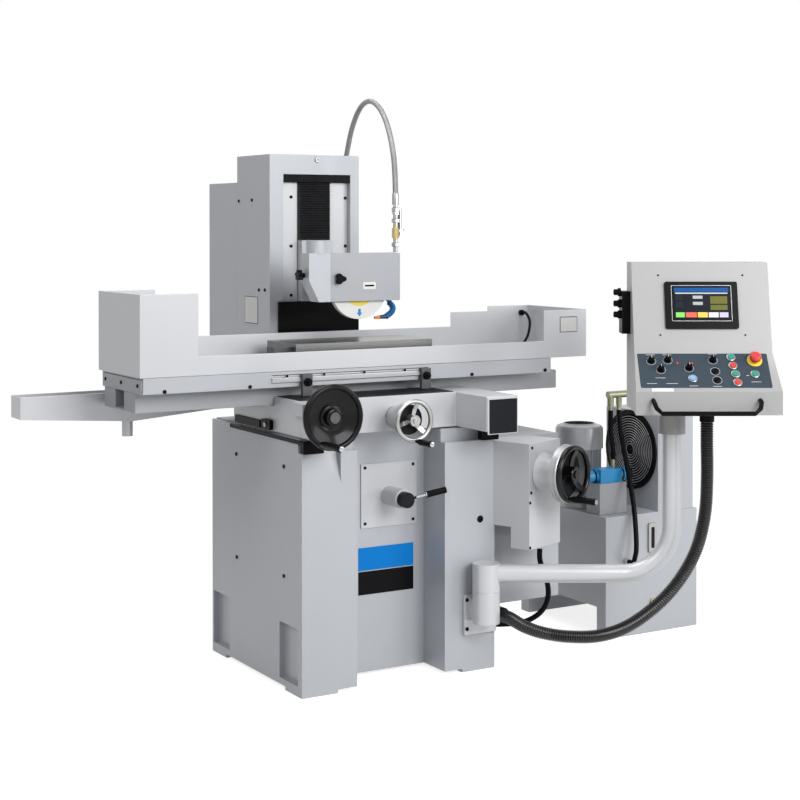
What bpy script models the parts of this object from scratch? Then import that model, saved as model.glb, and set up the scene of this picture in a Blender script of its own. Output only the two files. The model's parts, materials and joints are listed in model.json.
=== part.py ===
"""Surface grinder, 200 x 500 mm class, with its hydraulic unit and operator's pendant.

X runs along the table, Y from the operator to the column, Z up. The origin is the centre
of the underside of the front left foot. Sizes are in metres.
"""

import math

import bmesh
import bpy
from mathutils import Matrix, Vector

# Clearances
GAP = 0.0003  # between faces that touch
RUN = 0.0004  # radial, between a shaft and its bore
SLIDE = 0.002  # each side of a piece that slides through a slot

# Base
FOOT_W = 0.120
FOOT_D = 0.110
FOOT_H = 0.011
BASE_W = 0.680
BASE_D = 0.640
BASE_H = 0.760
BASE_WALL = 0.025
PILLAR_LEFT_W = 0.186
PILLAR_RIGHT_W = 0.184
RECESS_D = 0.125
FRONT_STEP_D = 0.025
FRONT_STEP_H = 0.040
REAR_D = 0.205
POCKET_W = 0.122
POCKET_H = 0.170
POCKET_D = 0.018
POCKET_FLOOR = 0.030
POCKET_FRONT = 0.026
POCKET_REAR = 0.012
SCOOP_W = 0.130
SCOOP_H = 0.125
SCOOP_D = 0.030
WAY_W = 0.070
WAY_H = 0.004
WAY_INSET = 0.006

BASE_LEFT = -FOOT_W / 2
BASE_RIGHT = BASE_LEFT + BASE_W
BASE_FRONT = -FOOT_D / 2
BASE_BACK = BASE_FRONT + BASE_D
RECESS_Y = BASE_FRONT + RECESS_D
CENTRE_X = (BASE_LEFT + BASE_RIGHT) / 2
WAY_TOP = BASE_H + WAY_H
STEP_Z = BASE_H - FRONT_STEP_H

# Front cover and table speed lever
COVER_W = 0.200
COVER_Z = (0.456, 0.655)
COVER_T = 0.004
COVER_SHIFT = 0.026
LEVER_BOSS_R = 0.030
LEVER_BOSS_L = 0.090
LEVER_Z = 0.552
LEVER_HUB_R = 0.024
LEVER_HUB_L = 0.026
LEVER_REACH = 0.125
LEVER_ROD_R = 0.004
LEVER_GRIP_R = 0.010
LEVER_GRIP_L = 0.066
LEVER_RISE = math.radians(12)
LEVER_LEAN = math.radians(17)

# Column
COLUMN_W = 0.335
COLUMN_SET_BACK = 0.075
COLUMN_D = 0.252
COLUMN_H = 0.866
COLUMN_FOOT_H = 0.110
REAR_COVER_D = 0.233
REAR_COVER_H = 0.668
SHEET = 0.004
OPENING_LEFT = 0.050
OPENING_RIGHT = 0.033
OPENING_SILL = 0.230
OPENING_H = 0.571
OPENING_D = 0.205
TOP_BAR_H = 0.026
PANEL_INSET = 0.020
SLOT_LEFT = 0.056
SLOT_W = 0.121
RIB_W = 0.018
RIB_SPAN = 0.170
SCREW_R = 0.010
SCREW_OFFSET = 0.092

COLUMN_TOP = BASE_H + COLUMN_H
REAR_COVER_Z = (BASE_H + COLUMN_FOOT_H, BASE_H + COLUMN_FOOT_H + REAR_COVER_H)
OPENING_Z = (BASE_H + OPENING_SILL, BASE_H + OPENING_SILL + OPENING_H)
COLUMN_LEFT = CENTRE_X - COLUMN_W / 2
COLUMN_RIGHT = CENTRE_X + COLUMN_W / 2
COLUMN_Y = BASE_BACK - COLUMN_SET_BACK
COLUMN_BACK = COLUMN_Y + COLUMN_D
OPEN_X = (COLUMN_LEFT + OPENING_LEFT, COLUMN_RIGHT - OPENING_RIGHT)
SLOT_X = (CENTRE_X - SLOT_LEFT, CENTRE_X - SLOT_LEFT + SLOT_W)
TOP_BAR_Z = OPENING_Z[1] - TOP_BAR_H

# Wheelhead
SPINDLE_H = 0.436
WHEEL_R = 0.1015
WHEEL_T = 0.019
WHEEL_IN = 0.014
SPINDLE_R = 0.015
SPINDLE_NOSE = 0.008
FLANGE_R = 0.036
FLANGE_T = 0.006
BEARING_R = 0.026
HOUSING_R = 0.052
HOUSING_FLANGE_R = 0.065
HOUSING_FLANGE_T = 0.020
NECK_OUT = 0.010
NECK_RISE = 0.146
CARRIAGE_SET_BACK = 0.035
CARRIAGE_T = 0.055
CARRIAGE_W = 0.221
MOTOR_R = 0.068
MOTOR_L = 0.095
GUARD_W = 0.329
GUARD_RIGHT_W = 0.142
GUARD_SPLIT_W = 0.077
GUARD_D = 0.057
GUARD_REACH = 0.317
GUARD_BACK_T = 0.0115
GUARD_DROP = 0.044
GUARD_RISE = 0.1085
GUARD_CUT = (0.035, 0.068)
GUARD_SHEET = 0.003
HINGE_R = 0.0045
DUST_R = 0.033
DUST_H = 0.041
DUST_IN = 0.041
APRON_LEFT_W = 0.138
APRON_W = 0.301
APRON_DROP = 0.056
APRON_H = 0.129
APRON_T = 0.006
APRON_GAP = 0.001
APRON_BAR_T = 0.004
APRON_BAR_W = 0.192
APRON_BAR_H = 0.033
COVER_KNOB_IN = 0.028
COVER_KNOB_RISE = 0.028
KNOB_R = 0.019
KNOB_T = 0.018
STAR_RISE = 0.040
STAR_IN = 0.033

SPINDLE_Z = BASE_H + SPINDLE_H
GUARD_RIGHT = CENTRE_X + GUARD_RIGHT_W
GUARD_LEFT = GUARD_RIGHT - GUARD_W
GUARD_SPLIT = GUARD_LEFT + GUARD_SPLIT_W
GUARD_Y = COLUMN_Y - GUARD_REACH
GUARD_BACK = GUARD_Y + GUARD_D
GUARD_Z = (SPINDLE_Z - GUARD_DROP, SPINDLE_Z + GUARD_RISE)
WHEEL_Y = GUARD_Y + WHEEL_IN
NECK_Y = COLUMN_Y - NECK_OUT
NECK_TOP = SPINDLE_Z + NECK_RISE
CARRIAGE_Y = COLUMN_Y + CARRIAGE_SET_BACK
DUST_X = GUARD_LEFT + DUST_IN
APRON_X = (CENTRE_X - APRON_LEFT_W, CENTRE_X - APRON_LEFT_W + APRON_W)
APRON_Z = (SPINDLE_Z - APRON_DROP - APRON_H, SPINDLE_Z - APRON_DROP)
GUARD_KNOB = (GUARD_SPLIT + COVER_KNOB_IN, SPINDLE_Z + COVER_KNOB_RISE)
STAR_Z = SPINDLE_Z + STAR_RISE
STAR_Y = GUARD_Y + STAR_IN
HOUSING_FRONT = GUARD_BACK + GAP
CARRIAGE_BACK = CARRIAGE_Y + CARRIAGE_T

# Coolant supply
VALVE_OUT = 0.015
VALVE_R = 0.008
VALVE_H = 0.152
VALVE_BODY_R = 0.0125
VALVE_LEVER_RISE = 0.0625
VALVE_LEVER_L = 0.082
BLOCK_W = 0.026
BLOCK_H = 0.030
BRAID_R = 0.009
ELBOW_BACK = 0.082
ELBOW_DROP = 0.216
ELBOW_R = 0.012
ELBOW_OUT = 0.0305
ELBOW_RISE = 0.040
SEGMENT_R = 0.0078
FEED_R = 0.005
NOZZLE_TIP = (-0.0880, -0.0450, -0.0545)

VALVE_X = GUARD_RIGHT + VALVE_OUT
VALVE_LEVER_Z = GUARD_Z[1] + VALVE_LEVER_RISE
ELBOW_Y = COLUMN_BACK - ELBOW_BACK
ELBOW_Z = COLUMN_TOP - ELBOW_DROP
ELBOW_X = COLUMN_RIGHT + ELBOW_OUT
GUARD_CORNER = (GUARD_RIGHT, GUARD_BACK, GUARD_Z[0])
HOSE_BENDS = [  # the nozzle hose, measured from the guard's lower right corner
    (-0.0035, 0.0090, -0.0030),
    (-0.0020, 0.0060, -0.0120),
    (-0.0005, -0.0060, -0.0200),
    (-0.0060, -0.0210, -0.0290),
    (-0.0200, -0.0340, -0.0400),
    (-0.0440, -0.0430, -0.0520),
]

# Saddle
SADDLE_W = 0.665
SADDLE_H = 0.1077
SADDLE_BED_H = 0.0804
SADDLE_IN = 0.035
SADDLE_D = 0.440
SADDLE_SHELF_D = 0.165
ARM_LEFT_OUT = 0.065
ARM_RIGHT_OUT = 0.175
ARM_W = 0.115
BEAM_LEFT_L = 0.780
BEAM_L = 1.505
BEAM_D = 0.250
BEAM_H = 0.060
BEAM_SLOT_W = 0.070
BEAM_FLOOR = 0.006

SADDLE_FRONT = BASE_FRONT + SADDLE_IN
SADDLE_BACK = SADDLE_FRONT + SADDLE_D
SHELF_BACK = SADDLE_FRONT + SADDLE_SHELF_D
ARM_LEFT_FRONT = SADDLE_FRONT - ARM_LEFT_OUT
ARM_RIGHT_FRONT = SADDLE_FRONT - ARM_RIGHT_OUT
SADDLE_Z = (WAY_TOP + GAP, WAY_TOP + GAP + SADDLE_H)
BEAM_X = (CENTRE_X - BEAM_LEFT_L, CENTRE_X - BEAM_LEFT_L + BEAM_L)
BEAM_Y = (SHELF_BACK, SHELF_BACK + BEAM_D)
BEAM_LOW = SADDLE_Z[0] + SADDLE_BED_H + GAP
BEAM_Z = (BEAM_LOW, BEAM_LOW + BEAM_H)
SADDLE_LEFT = CENTRE_X - SADDLE_W / 2
SADDLE_RIGHT = CENTRE_X + SADDLE_W / 2

# Handwheels: radius, rim width, rim thickness, hub radius, hub length, grip radius and length
TABLE_WHEEL = dict(r=0.0975, width=0.036, rim=0.020, hub_r=0.026, hub=0.052, grip_r=0.0115, grip=0.110)
CROSS_WHEEL = dict(r=0.0655, width=0.026, rim=0.011, hub_r=0.019, hub=0.048, grip_r=0.0100, grip=0.075)
RAISE_WHEEL = dict(r=0.0915, width=0.026, rim=0.016, hub_r=0.024, hub=0.060, grip_r=0.0110, grip=0.085)
GRIP_STUB = 0.014
TABLE_WHEEL_IN = 0.0425
TABLE_WHEEL_RISE = 0.0717
TABLE_BOSS_R = 0.035
TABLE_BOSS_L = 0.045
CROSS_WHEEL_RISE = 0.0417
CROSS_DIAL_R = 0.048
CROSS_DIAL_L = 0.085

TABLE_WHEEL_X = SADDLE_LEFT + TABLE_WHEEL_IN
TABLE_WHEEL_Z = SADDLE_Z[0] + TABLE_WHEEL_RISE
CROSS_WHEEL_Z = SADDLE_Z[0] + CROSS_WHEEL_RISE

# Table
TRAY_LEFT_L = 0.794
TRAY_L = 1.590
TRAY_OVER = 0.073
TRAY_D = 0.336
LIP_H = 0.056
BACK_H = 0.091
LEFT_GUARD_H = 0.240
RIGHT_GUARD_H = 0.157
LEFT_GUARD_W = 0.182
RIGHT_GUARD_W = 0.174
BACK_STEP_H = 0.140
BACK_STEP_W = 0.152
TRAY_WALL = 0.004
TABLE_IN = 0.011
TABLE_L = 1.436
TABLE_INSET = 0.003
TABLE_H = 0.0484
CHANNEL_END = 0.012
CHUCK_LEFT_L = 0.260
CHUCK_L = 0.490
CHUCK_W = 0.200
CHUCK_H = 0.070
TERMINAL = (0.060, 0.050, 0.060)
CYLINDER_R = 0.021
CYLINDER_L = 0.620
ROD_R = 0.008
ROD_END = 0.640
DOG_RAIL_LEFT_L = 0.375
DOG_RAIL_L = 0.551
DOG_RAIL_H = 0.016
DOG_RAIL_T = 0.007
DOG_RAIL_RISE = 0.0307
DOG_W = 0.034
DOG_T = 0.012
DOG_DROP = 0.042
DOG_IN = (0.095, 0.515)
CABLE_R = 0.0045
GLAND_IN = 0.036
GLAND_RISE = 0.131
GLAND_L = 0.014
GLAND_R = 0.010
CHUCK_FORWARD = 0.030
SOCKET_ACROSS = 0.100
SOCKET_RISE = 0.0217
SOCKET_L = 0.030

TABLE_Z = BEAM_Z[1] + GAP
TRAY_Z = TABLE_Z + TABLE_H + GAP
TRAY_LEFT = CENTRE_X - TRAY_LEFT_L
TRAY_RIGHT = TRAY_LEFT + TRAY_L
TRAY_Y = (BEAM_Y[0] - TRAY_OVER, BEAM_Y[0] - TRAY_OVER + TRAY_D)
LIP_TOP = TRAY_Z + LIP_H
BACK_TOP = TRAY_Z + BACK_H
LEFT_TOP = TRAY_Z + LEFT_GUARD_H
RIGHT_TOP = TRAY_Z + RIGHT_GUARD_H
BACK_STEP_TOP = TRAY_Z + BACK_STEP_H
BACK_STEP_X = TRAY_RIGHT - RIGHT_GUARD_W - BACK_STEP_W
TABLE_X = (TRAY_LEFT + TABLE_IN, TRAY_LEFT + TABLE_IN + TABLE_L)
CHUCK_X = CENTRE_X - CHUCK_LEFT_L
DOG_RAIL_X = (CENTRE_X - DOG_RAIL_LEFT_L, CENTRE_X - DOG_RAIL_LEFT_L + DOG_RAIL_L)
DOG_RAIL_Z = TABLE_Z + DOG_RAIL_RISE
DOG_X = tuple(DOG_RAIL_X[0] + x for x in DOG_IN)

# Coolant trough
TROUGH_L = 0.813
TROUGH_ON = 0.1125
TROUGH_GAP = 0.0005
TROUGH_W = 0.0895
TROUGH_RISE = 0.1167
TROUGH_TIP_H = 0.067
TROUGH_END_H = 0.055
TROUGH_DEEP = 0.092
TROUGH_LOW = 0.353
TROUGH_WALL = 0.003
DRAIN_R = 0.017
DRAIN_L = 0.050

TROUGH_X = (SADDLE_LEFT + TROUGH_ON - TROUGH_L, SADDLE_LEFT + TROUGH_ON)
TROUGH_Y = (SADDLE_BACK + TROUGH_GAP, SADDLE_BACK + TROUGH_GAP + TROUGH_W)
TROUGH_TOP = SADDLE_Z[0] + TROUGH_RISE
TROUGH_LOW_X = TROUGH_X[0] + TROUGH_LOW

# Elevating gearbox and side cabinet
GEARBOX_YAW = math.radians(21)
GEARBOX_OUT = (0.045, 0.127)
GEARBOX_W = 0.175
GEARBOX_D = 0.180
GEARBOX_LOW = 0.385
GEARBOX_H = 0.330
GEARBOX_FOOT_D = 0.070
GEARBOX_REAR_H = 0.065
RAISE_RISE = 0.237
RAISE_ACROSS = 0.080
RAISE_BOSS_R = 0.042
RAISE_BOSS_L = 0.020
RAISE_REACH = 0.109
CABINET_W = 0.290
CABINET_IN = 0.055
CABINET_D = 0.300
CABINET_LOW = 0.183
CABINET_H = 0.5315
HOSE_GLAND_R = 0.0115
HOSE_GLAND_L = 0.010
GLAND_ACROSS = 0.094
GLAND_DEEP = 0.025
BASE_GLAND = (0.105, 0.110)
BASE_GLAND_L = 0.012

GEARBOX_CORNER = (BASE_RIGHT + GEARBOX_OUT[0], BASE_FRONT - GEARBOX_OUT[1])
GEARBOX_Z = (GEARBOX_LOW, GEARBOX_LOW + GEARBOX_H)
GEARBOX_REAR_Z = GEARBOX_LOW + GEARBOX_REAR_H
RAISE_Z = GEARBOX_LOW + RAISE_RISE
CABINET_X = BASE_RIGHT + CABINET_W
CABINET_Y = (BASE_FRONT + CABINET_IN, BASE_FRONT + CABINET_IN + CABINET_D)
CABINET_Z = (CABINET_LOW, CABINET_LOW + CABINET_H)

# Pendant arm and pendant
VIEW_YAW = math.radians(-30.65)
BRACKET_W = 0.118
BRACKET_Z = (0.117, 0.242)
BRACKET_T = 0.012
SOCKET_IN = 0.071
SOCKET_OUT = 0.060
SOCKET_R = 0.0425
SOCKET_Z = (0.161, 0.260, 0.347)
PIN_R = 0.018
ARM_Z = 0.315
ARM_TUBE_R = 0.0285
ARM_REACH = 0.574
ARM_BEND_R = 0.147
ARM_TOP = 0.749
COLLAR_R = 0.0415
COLLAR_H = 0.0787
PENDANT_ACROSS = 0.078
PENDANT_W = 0.418
CONSOLE_W = 0.436
PENDANT_BACK = 0.065
PENDANT_TOP_Y = -0.030
PENDANT_BEND_Y = -0.100
PENDANT_LIP_Y = -0.200
PENDANT_LIP_H = 0.070
PENDANT_BEND_H = 0.1808
PENDANT_H = 0.4505
CONNECTOR_AT = (0.0893, -0.1003)
CONNECTOR_L = 0.030
HANDLE_R = 0.007
HANDLE_OUT = 0.036
HANDLE_DROP = 0.036
HANDLE_X = (-0.089, 0.229)
HANDSET = (0.028, 0.070, 0.131)
HANDSET_RISE = 0.230
BUTTON_R = 0.0095
BUTTON_OUT = 0.007
BUTTON_IN = 0.008
BUTTON_TRAVEL = 0.004
ESTOP_R = 0.018
ESTOP_STEM_R = 0.010

# Grip angles about each handwheel's axis, measured in its own frame
TABLE_GRIP = math.radians(235)
CROSS_GRIP = math.radians(270)
RAISE_GRIP = math.radians(255)

BRACKET_X = (BASE_RIGHT - 0.001 - BRACKET_W, BASE_RIGHT - 0.001)
SOCKET = (BASE_RIGHT - SOCKET_IN, BASE_FRONT - SOCKET_OUT)
PENDANT_LOW = ARM_TOP + GAP + COLLAR_H
PENDANT_Z = (PENDANT_LOW, PENDANT_LOW + PENDANT_LIP_H, PENDANT_LOW + PENDANT_BEND_H, PENDANT_LOW + PENDANT_H)
HANDSET_Z = PENDANT_LOW + HANDSET_RISE

CONTROLS = {  # name: kind, across the pendant from the arm's axis, share of the way down the console
    "estop_button": ("estop", 0.228, 0.22),
    "green_button_1": ("button", 0.158, 0.15),
    "red_button_1": ("button", 0.160, 0.36),
    "green_button_2": ("button", 0.164, 0.57),
    "red_button_2": ("button", 0.166, 0.78),
    "green_button_3": ("button", 0.222, 0.57),
    "lit_button": ("button", 0.034, 0.68),
    "selector_1": ("knob", 0.027, 0.42),
    "selector_2": ("knob", 0.102, 0.22),
    "feed_knob_1": ("knob", -0.084, 0.24),
    "feed_knob_2": ("knob", -0.034, 0.22),
    "feed_knob_3": ("knob", -0.058, 0.46),
}
DIAL_R = 0.0105
DIAL_T = 0.014

# Hydraulic unit
TANK_APART = 0.511
TANK_W = 0.399
TANK_IN = 0.090
TANK_D = 0.495
TANK_H = 0.404
TANK_LID = 0.006
TANK_WALL = 0.005
TANK_ARCH_H = 0.100
TANK_LEG_D = 0.050
OIL_LINE = (0.415, 0.300)
OIL_LINE_R = 0.012
PUMP_IN = (0.069, 0.240)
PUMP_R = 0.071
PUMP_H = 0.290
MANIFOLD_IN = (0.009, 0.045)
MANIFOLD_W = 0.115
MANIFOLD_D = 0.075
MANIFOLD_H = 0.105
VALVE_BLOCK_H = 0.046
NIPPLE_IN = (0.086, 0.038)
NIPPLE_R = 0.008
NIPPLE_H = 0.0287
SOLENOID_R = 0.021
SOLENOID_L = 0.048
COOLER_IN = (0.229, 0.005)
COOLER_W = 0.155
COOLER_D = 0.286
COOLER_H = 0.335
FAN_RISE = 0.197
FAN_GUARD_R = 0.138
FAN_WELL_R = 0.126
FAN_WELL_D = 0.060
FAN_R = 0.120
FAN_HUB_R = 0.030
FAN_BLADES = 5
GUARD_SPOKES = 3
WIRE = 0.004
PIPE_R = 0.012
PIPE_RISE = 0.063
PIPE_IN = 0.045
PIPE_OVER = 0.124
PIPE_BACK = 0.105
PIPE_DROP = 0.037
TEE_IN = 0.036
TEE_DROP = 0.036
TEE_R = 0.0105
CONDUIT_END = (0.081, 0.022, 0.257)

LID_TOP = TANK_H + TANK_LID
TANK_X = (BASE_RIGHT + TANK_APART, BASE_RIGHT + TANK_APART + TANK_W)
TANK_Y = (BASE_FRONT + TANK_IN, BASE_FRONT + TANK_IN + TANK_D)
TANK_ARCH_Y = (TANK_Y[0] + TANK_LEG_D, TANK_Y[1] - TANK_LEG_D)
PUMP_AT = (TANK_X[0] + PUMP_IN[0], TANK_Y[0] + PUMP_IN[1])
MANIFOLD_X = (TANK_X[0] + MANIFOLD_IN[0], TANK_X[0] + MANIFOLD_IN[0] + MANIFOLD_W)
MANIFOLD_Y = (TANK_Y[0] + MANIFOLD_IN[1], TANK_Y[0] + MANIFOLD_IN[1] + MANIFOLD_D)
COOLER_X = (TANK_X[0] + COOLER_IN[0], TANK_X[0] + COOLER_IN[0] + COOLER_W)
COOLER_Y = (TANK_Y[0] + COOLER_IN[1], TANK_Y[0] + COOLER_IN[1] + COOLER_D)
COOLER_TOP = LID_TOP + GAP + COOLER_H
FAN_Z = LID_TOP + GAP + FAN_RISE
PIPE_Z = COOLER_TOP + PIPE_RISE
PIPE_X = (COOLER_X[0] - PIPE_OVER, COOLER_X[0] + PIPE_IN)
PIPE_Y = COOLER_Y[0] + PIPE_BACK
CONDUIT_R = 0.0205
CONDUIT_OUT = 0.0295
CONDUIT_AHEAD = 0.005
CONDUIT_Z = 0.160
ELBOW_L = 0.050
SMALL_HOSE_R = 0.0085

# Routes of the cords, chosen by hand, each from its fitting
BRAID_ROUTE = [
    (0.437, 0.2474, 1.4580),
    (0.437, 0.2474, 1.5000),
    (0.438, 0.2600, 1.6100),
    (0.443, 0.3050, 1.7100),
    (0.449, 0.3700, 1.7780),
    (0.456, 0.4500, 1.8080),
    (0.464, 0.5300, 1.7900),
    (0.471, 0.6000, 1.7250),
    (0.476, 0.6500, 1.6300),
    (0.478, 0.6780, 1.5450),
    (0.478, 0.6800, 1.4920),
    (0.478, 0.6800, 1.4503),
]
CONDUIT_ROUTE = [
    (0.6495, -0.0603, 0.1600),
    (0.6495, -0.1000, 0.1600),
    (0.6650, -0.1550, 0.1440),
    (0.6980, -0.2050, 0.1310),
    (0.7540, -0.2600, 0.1240),
    (0.8180, -0.3300, 0.1330),
    (0.8760, -0.4000, 0.1700),
    (0.9400, -0.4650, 0.2420),
    (0.9960, -0.5050, 0.3230),
    (1.0400, -0.5280, 0.4150),
    (1.0640, -0.5370, 0.5200),
    (1.0700, -0.5390, 0.6300),
    (1.0685, -0.5394, 0.7300),
    (1.0685, -0.5394, 0.7977),
]
SMALL_HOSE_ROUTE = [
    (0.7450, -0.1250, 0.3747),
    (0.7450, -0.1250, 0.3420),
    (0.7600, -0.1220, 0.3000),
    (0.7820, -0.1160, 0.2550),
    (0.7900, -0.1050, 0.2050),
    (0.7750, -0.0860, 0.1600),
    (0.7400, -0.0500, 0.1280),
    (0.7000, 0.0100, 0.1120),
    (0.6680, 0.0440, 0.1100),
    (0.6500, 0.0500, 0.1100),
    (0.6323, 0.0500, 0.1100),
]
CHUCK_CABLE_ROUTE = [
    (1.0400, 0.3917, 1.0850),
    (1.0400, 0.3720, 1.0850),
    (1.0400, 0.3480, 1.0550),
    (1.0200, 0.3350, 1.0050),
    (0.9750, 0.3200, 0.9740),
    (0.9000, 0.3080, 0.9655),
    (0.8000, 0.2900, 0.9640),
    (0.7000, 0.2700, 0.9640),
    (0.6200, 0.2500, 0.9660),
    (0.5610, 0.2400, 0.9800),
    (0.5403, 0.2400, 0.9800),
]
RETURN_BENDS = [  # from the return hose's top end
    (0.0000, 0.0000, -0.0507),
    (-0.0030, -0.0050, -0.1007),
    (-0.0090, -0.0230, -0.1457),
]
CONDUIT_BENDS = [  # from the pump conduit's top end
    (-0.0020, -0.0030, -0.0417),
    (-0.0080, -0.0200, -0.1017),
    (-0.0140, -0.0500, -0.1717),
    (-0.0220, -0.0850, -0.2517),
    (-0.0300, -0.1200, -0.3417),
    (-0.0400, -0.1450, -0.4317),
    (-0.0490, -0.1570, -0.4867),
    (-0.0570, -0.1580, -0.5137),
]
RETURN_HOSE_R = 0.009

AXES = {"X": Vector((1, 0, 0)), "Y": Vector((0, 1, 0)), "Z": Vector((0, 0, 1))}
SIDES = 32


def clear_scene():
    """Remove every object, so that the file can be run again."""
    for obj in list(bpy.data.objects):
        bpy.data.objects.remove(obj, do_unlink=True)


def material(name, colour, roughness, metallic=0.0):
    """A Principled material in one colour."""
    made = bpy.data.materials.new(name)
    made.use_nodes = True
    shader = made.node_tree.nodes["Principled BSDF"]
    shader.inputs["Base Color"].default_value = (*colour, 1.0)
    shader.inputs["Roughness"].default_value = roughness
    shader.inputs["Metallic"].default_value = metallic
    return made


def make_materials():
    """Every finish on the machine."""
    return {
        "grey_paint": material("grey_paint", (0.60, 0.61, 0.63), 0.45, 0.1),
        "white_paint": material("white_paint", (0.80, 0.81, 0.82), 0.40),
        "black": material("black", (0.02, 0.02, 0.022), 0.40),
        "rubber": material("rubber", (0.03, 0.03, 0.032), 0.75),
        "steel": material("steel", (0.55, 0.56, 0.57), 0.30, 1.0),
        "chrome": material("chrome", (0.80, 0.80, 0.80), 0.12, 1.0),
        "brass": material("brass", (0.60, 0.50, 0.26), 0.35, 1.0),
        "alu": material("alu", (0.72, 0.73, 0.74), 0.35, 0.8),
        "blue": material("blue", (0.05, 0.30, 0.65), 0.40),
        "orange": material("orange", (0.85, 0.25, 0.03), 0.45),
        "green": material("green", (0.05, 0.45, 0.20), 0.35),
        "red": material("red", (0.70, 0.03, 0.03), 0.35),
        "abrasive": material("abrasive", (0.75, 0.75, 0.74), 0.90),
        "glass": material("glass", (0.03, 0.05, 0.08), 0.10),
    }


def link(obj, helper=False):
    """Put an object in the scene; a helper is only read by Boolean modifiers."""
    bpy.context.scene.collection.objects.link(obj)
    if helper:
        obj.hide_render = True
        obj.display_type = "WIRE"
        obj.hide_set(True)
    return obj


def from_bmesh(name, bm, helper=False):
    """An object made of a bmesh, its faces pointing out."""
    bmesh.ops.recalc_face_normals(bm, faces=bm.faces[:])
    mesh = bpy.data.meshes.new(name)
    bm.to_mesh(mesh)
    bm.free()
    return link(bpy.data.objects.new(name, mesh), helper)


def hull_of(name, points, helper=False):
    """The convex solid through some points."""
    bm = bmesh.new()
    for point in points:
        bm.verts.new(point)
    bmesh.ops.convex_hull(bm, input=bm.verts[:])
    return from_bmesh(name, bm, helper)


def box(name, x, y, z, helper=False):
    """A box between two values on each axis."""
    return prism(name, "Z", [(x[0], y[0]), (x[1], y[0]), (x[1], y[1]), (x[0], y[1])], z, helper)


def prism(name, axis, outline, span, helper=False):
    """An outline drawn across an axis, extruded between two values along it.

    The outline's pairs are (Y, Z) across X, (X, Z) across Y and (X, Y) across Z.
    """
    order = {"X": lambda a, b, h: (h, a, b), "Y": lambda a, b, h: (a, h, b), "Z": lambda a, b, h: (a, b, h)}[axis]
    bm = bmesh.new()
    face = bm.faces.new([bm.verts.new(order(a, b, span[0])) for a, b in outline])
    made = bmesh.ops.extrude_face_region(bm, geom=[face])
    moved = [v for v in made["geom"] if isinstance(v, bmesh.types.BMVert)]
    bmesh.ops.translate(bm, verts=moved, vec=Vector(order(0, 0, span[1] - span[0])))
    return from_bmesh(name, bm, helper)


def frame_along(axis):
    """A rotation that takes +Z to a direction."""
    return AXES["Z"].rotation_difference(Vector(axis).normalized()).to_matrix().to_4x4()


def turned(name, profile, at, axis, sides=SIDES, helper=False):
    """A closed profile of (radius, distance along the axis), turned about the axis.

    Points on the axis close the ends; a profile with none makes a ring.
    """
    bm = bmesh.new()
    rings = []
    for radius, height in profile:
        if radius == 0:
            rings.append([bm.verts.new((0, 0, height))])
            continue
        angles = [2 * math.pi * i / sides for i in range(sides)]
        rings.append([bm.verts.new((radius * math.cos(a), radius * math.sin(a), height)) for a in angles])
    closed = profile[0][0] > 0 and profile[-1][0] > 0
    pairs = list(zip(rings, rings[1:] + rings[:1])) if closed else list(zip(rings, rings[1:]))
    for ring, following in pairs:
        if len(ring) == 1 and len(following) == 1:
            continue
        for i in range(sides):
            j = (i + 1) % sides
            corners = [ring[i % len(ring)], ring[j % len(ring)], following[j % len(following)], following[i % len(following)]]
            bm.faces.new(list(dict.fromkeys(corners)))
    bmesh.ops.transform(bm, matrix=Matrix.Translation(at) @ frame_along(axis), verts=bm.verts[:])
    return smooth(from_bmesh(name, bm, helper))


def cylinder(name, at, axis, radius, length, sides=SIDES, helper=False):
    """A round bar that starts at a point and runs along a direction."""
    return turned(name, [(0, 0), (radius, 0), (radius, length), (0, length)], at, axis, sides, helper)


def ring(name, at, axis, inner, outer, length, sides=SIDES, helper=False):
    """A round bush that starts at a point and runs along a direction."""
    return turned(name, [(inner, 0), (outer, 0), (outer, length), (inner, length)], at, axis, sides, helper)


def smooth(obj, angle=math.radians(35)):
    """Shade an object smooth, except across sharp edges."""
    obj.data.shade_smooth()
    obj.data.set_sharp_from_angle(angle=angle)
    return obj


def pipe(name, points, radius, sides=20, helper=False):
    """A round bar swept along points."""
    points = [Vector(p) for p in points]
    bm = bmesh.new()
    rings = []
    side = None
    for i, point in enumerate(points):
        along = (points[min(i + 1, len(points) - 1)] - points[max(i - 1, 0)]).normalized()
        if side is None:
            side = along.orthogonal().normalized()
        side = (side - along * side.dot(along)).normalized()
        up = along.cross(side)
        angles = [2 * math.pi * k / sides for k in range(sides)]
        rings.append([bm.verts.new(point + radius * (side * math.cos(a) + up * math.sin(a))) for a in angles])
    for first, second in zip(rings, rings[1:]):
        for k in range(sides):
            j = (k + 1) % sides
            bm.faces.new([first[k], first[j], second[j], second[k]])
    bm.faces.new(rings[0])
    bm.faces.new(rings[-1])
    return smooth(from_bmesh(name, bm, helper))


def smooth_route(points, spacing):
    """Points about a spacing apart on a smooth curve through a route's own points."""
    points = [Vector(p) for p in points]
    padded = [2 * points[0] - points[1], *points, 2 * points[-1] - points[-2]]
    made = [points[0]]
    for a, b, c, d in zip(padded, padded[1:], padded[2:], padded[3:]):
        steps = max(1, round((c - b).length / spacing))
        for k in range(1, steps + 1):
            t = k / steps
            made.append(0.5 * (2 * b + (c - a) * t + (2 * a - 5 * b + 4 * c - d) * t**2 + (3 * b - a - 3 * c + d) * t**3))
    return made


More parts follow.
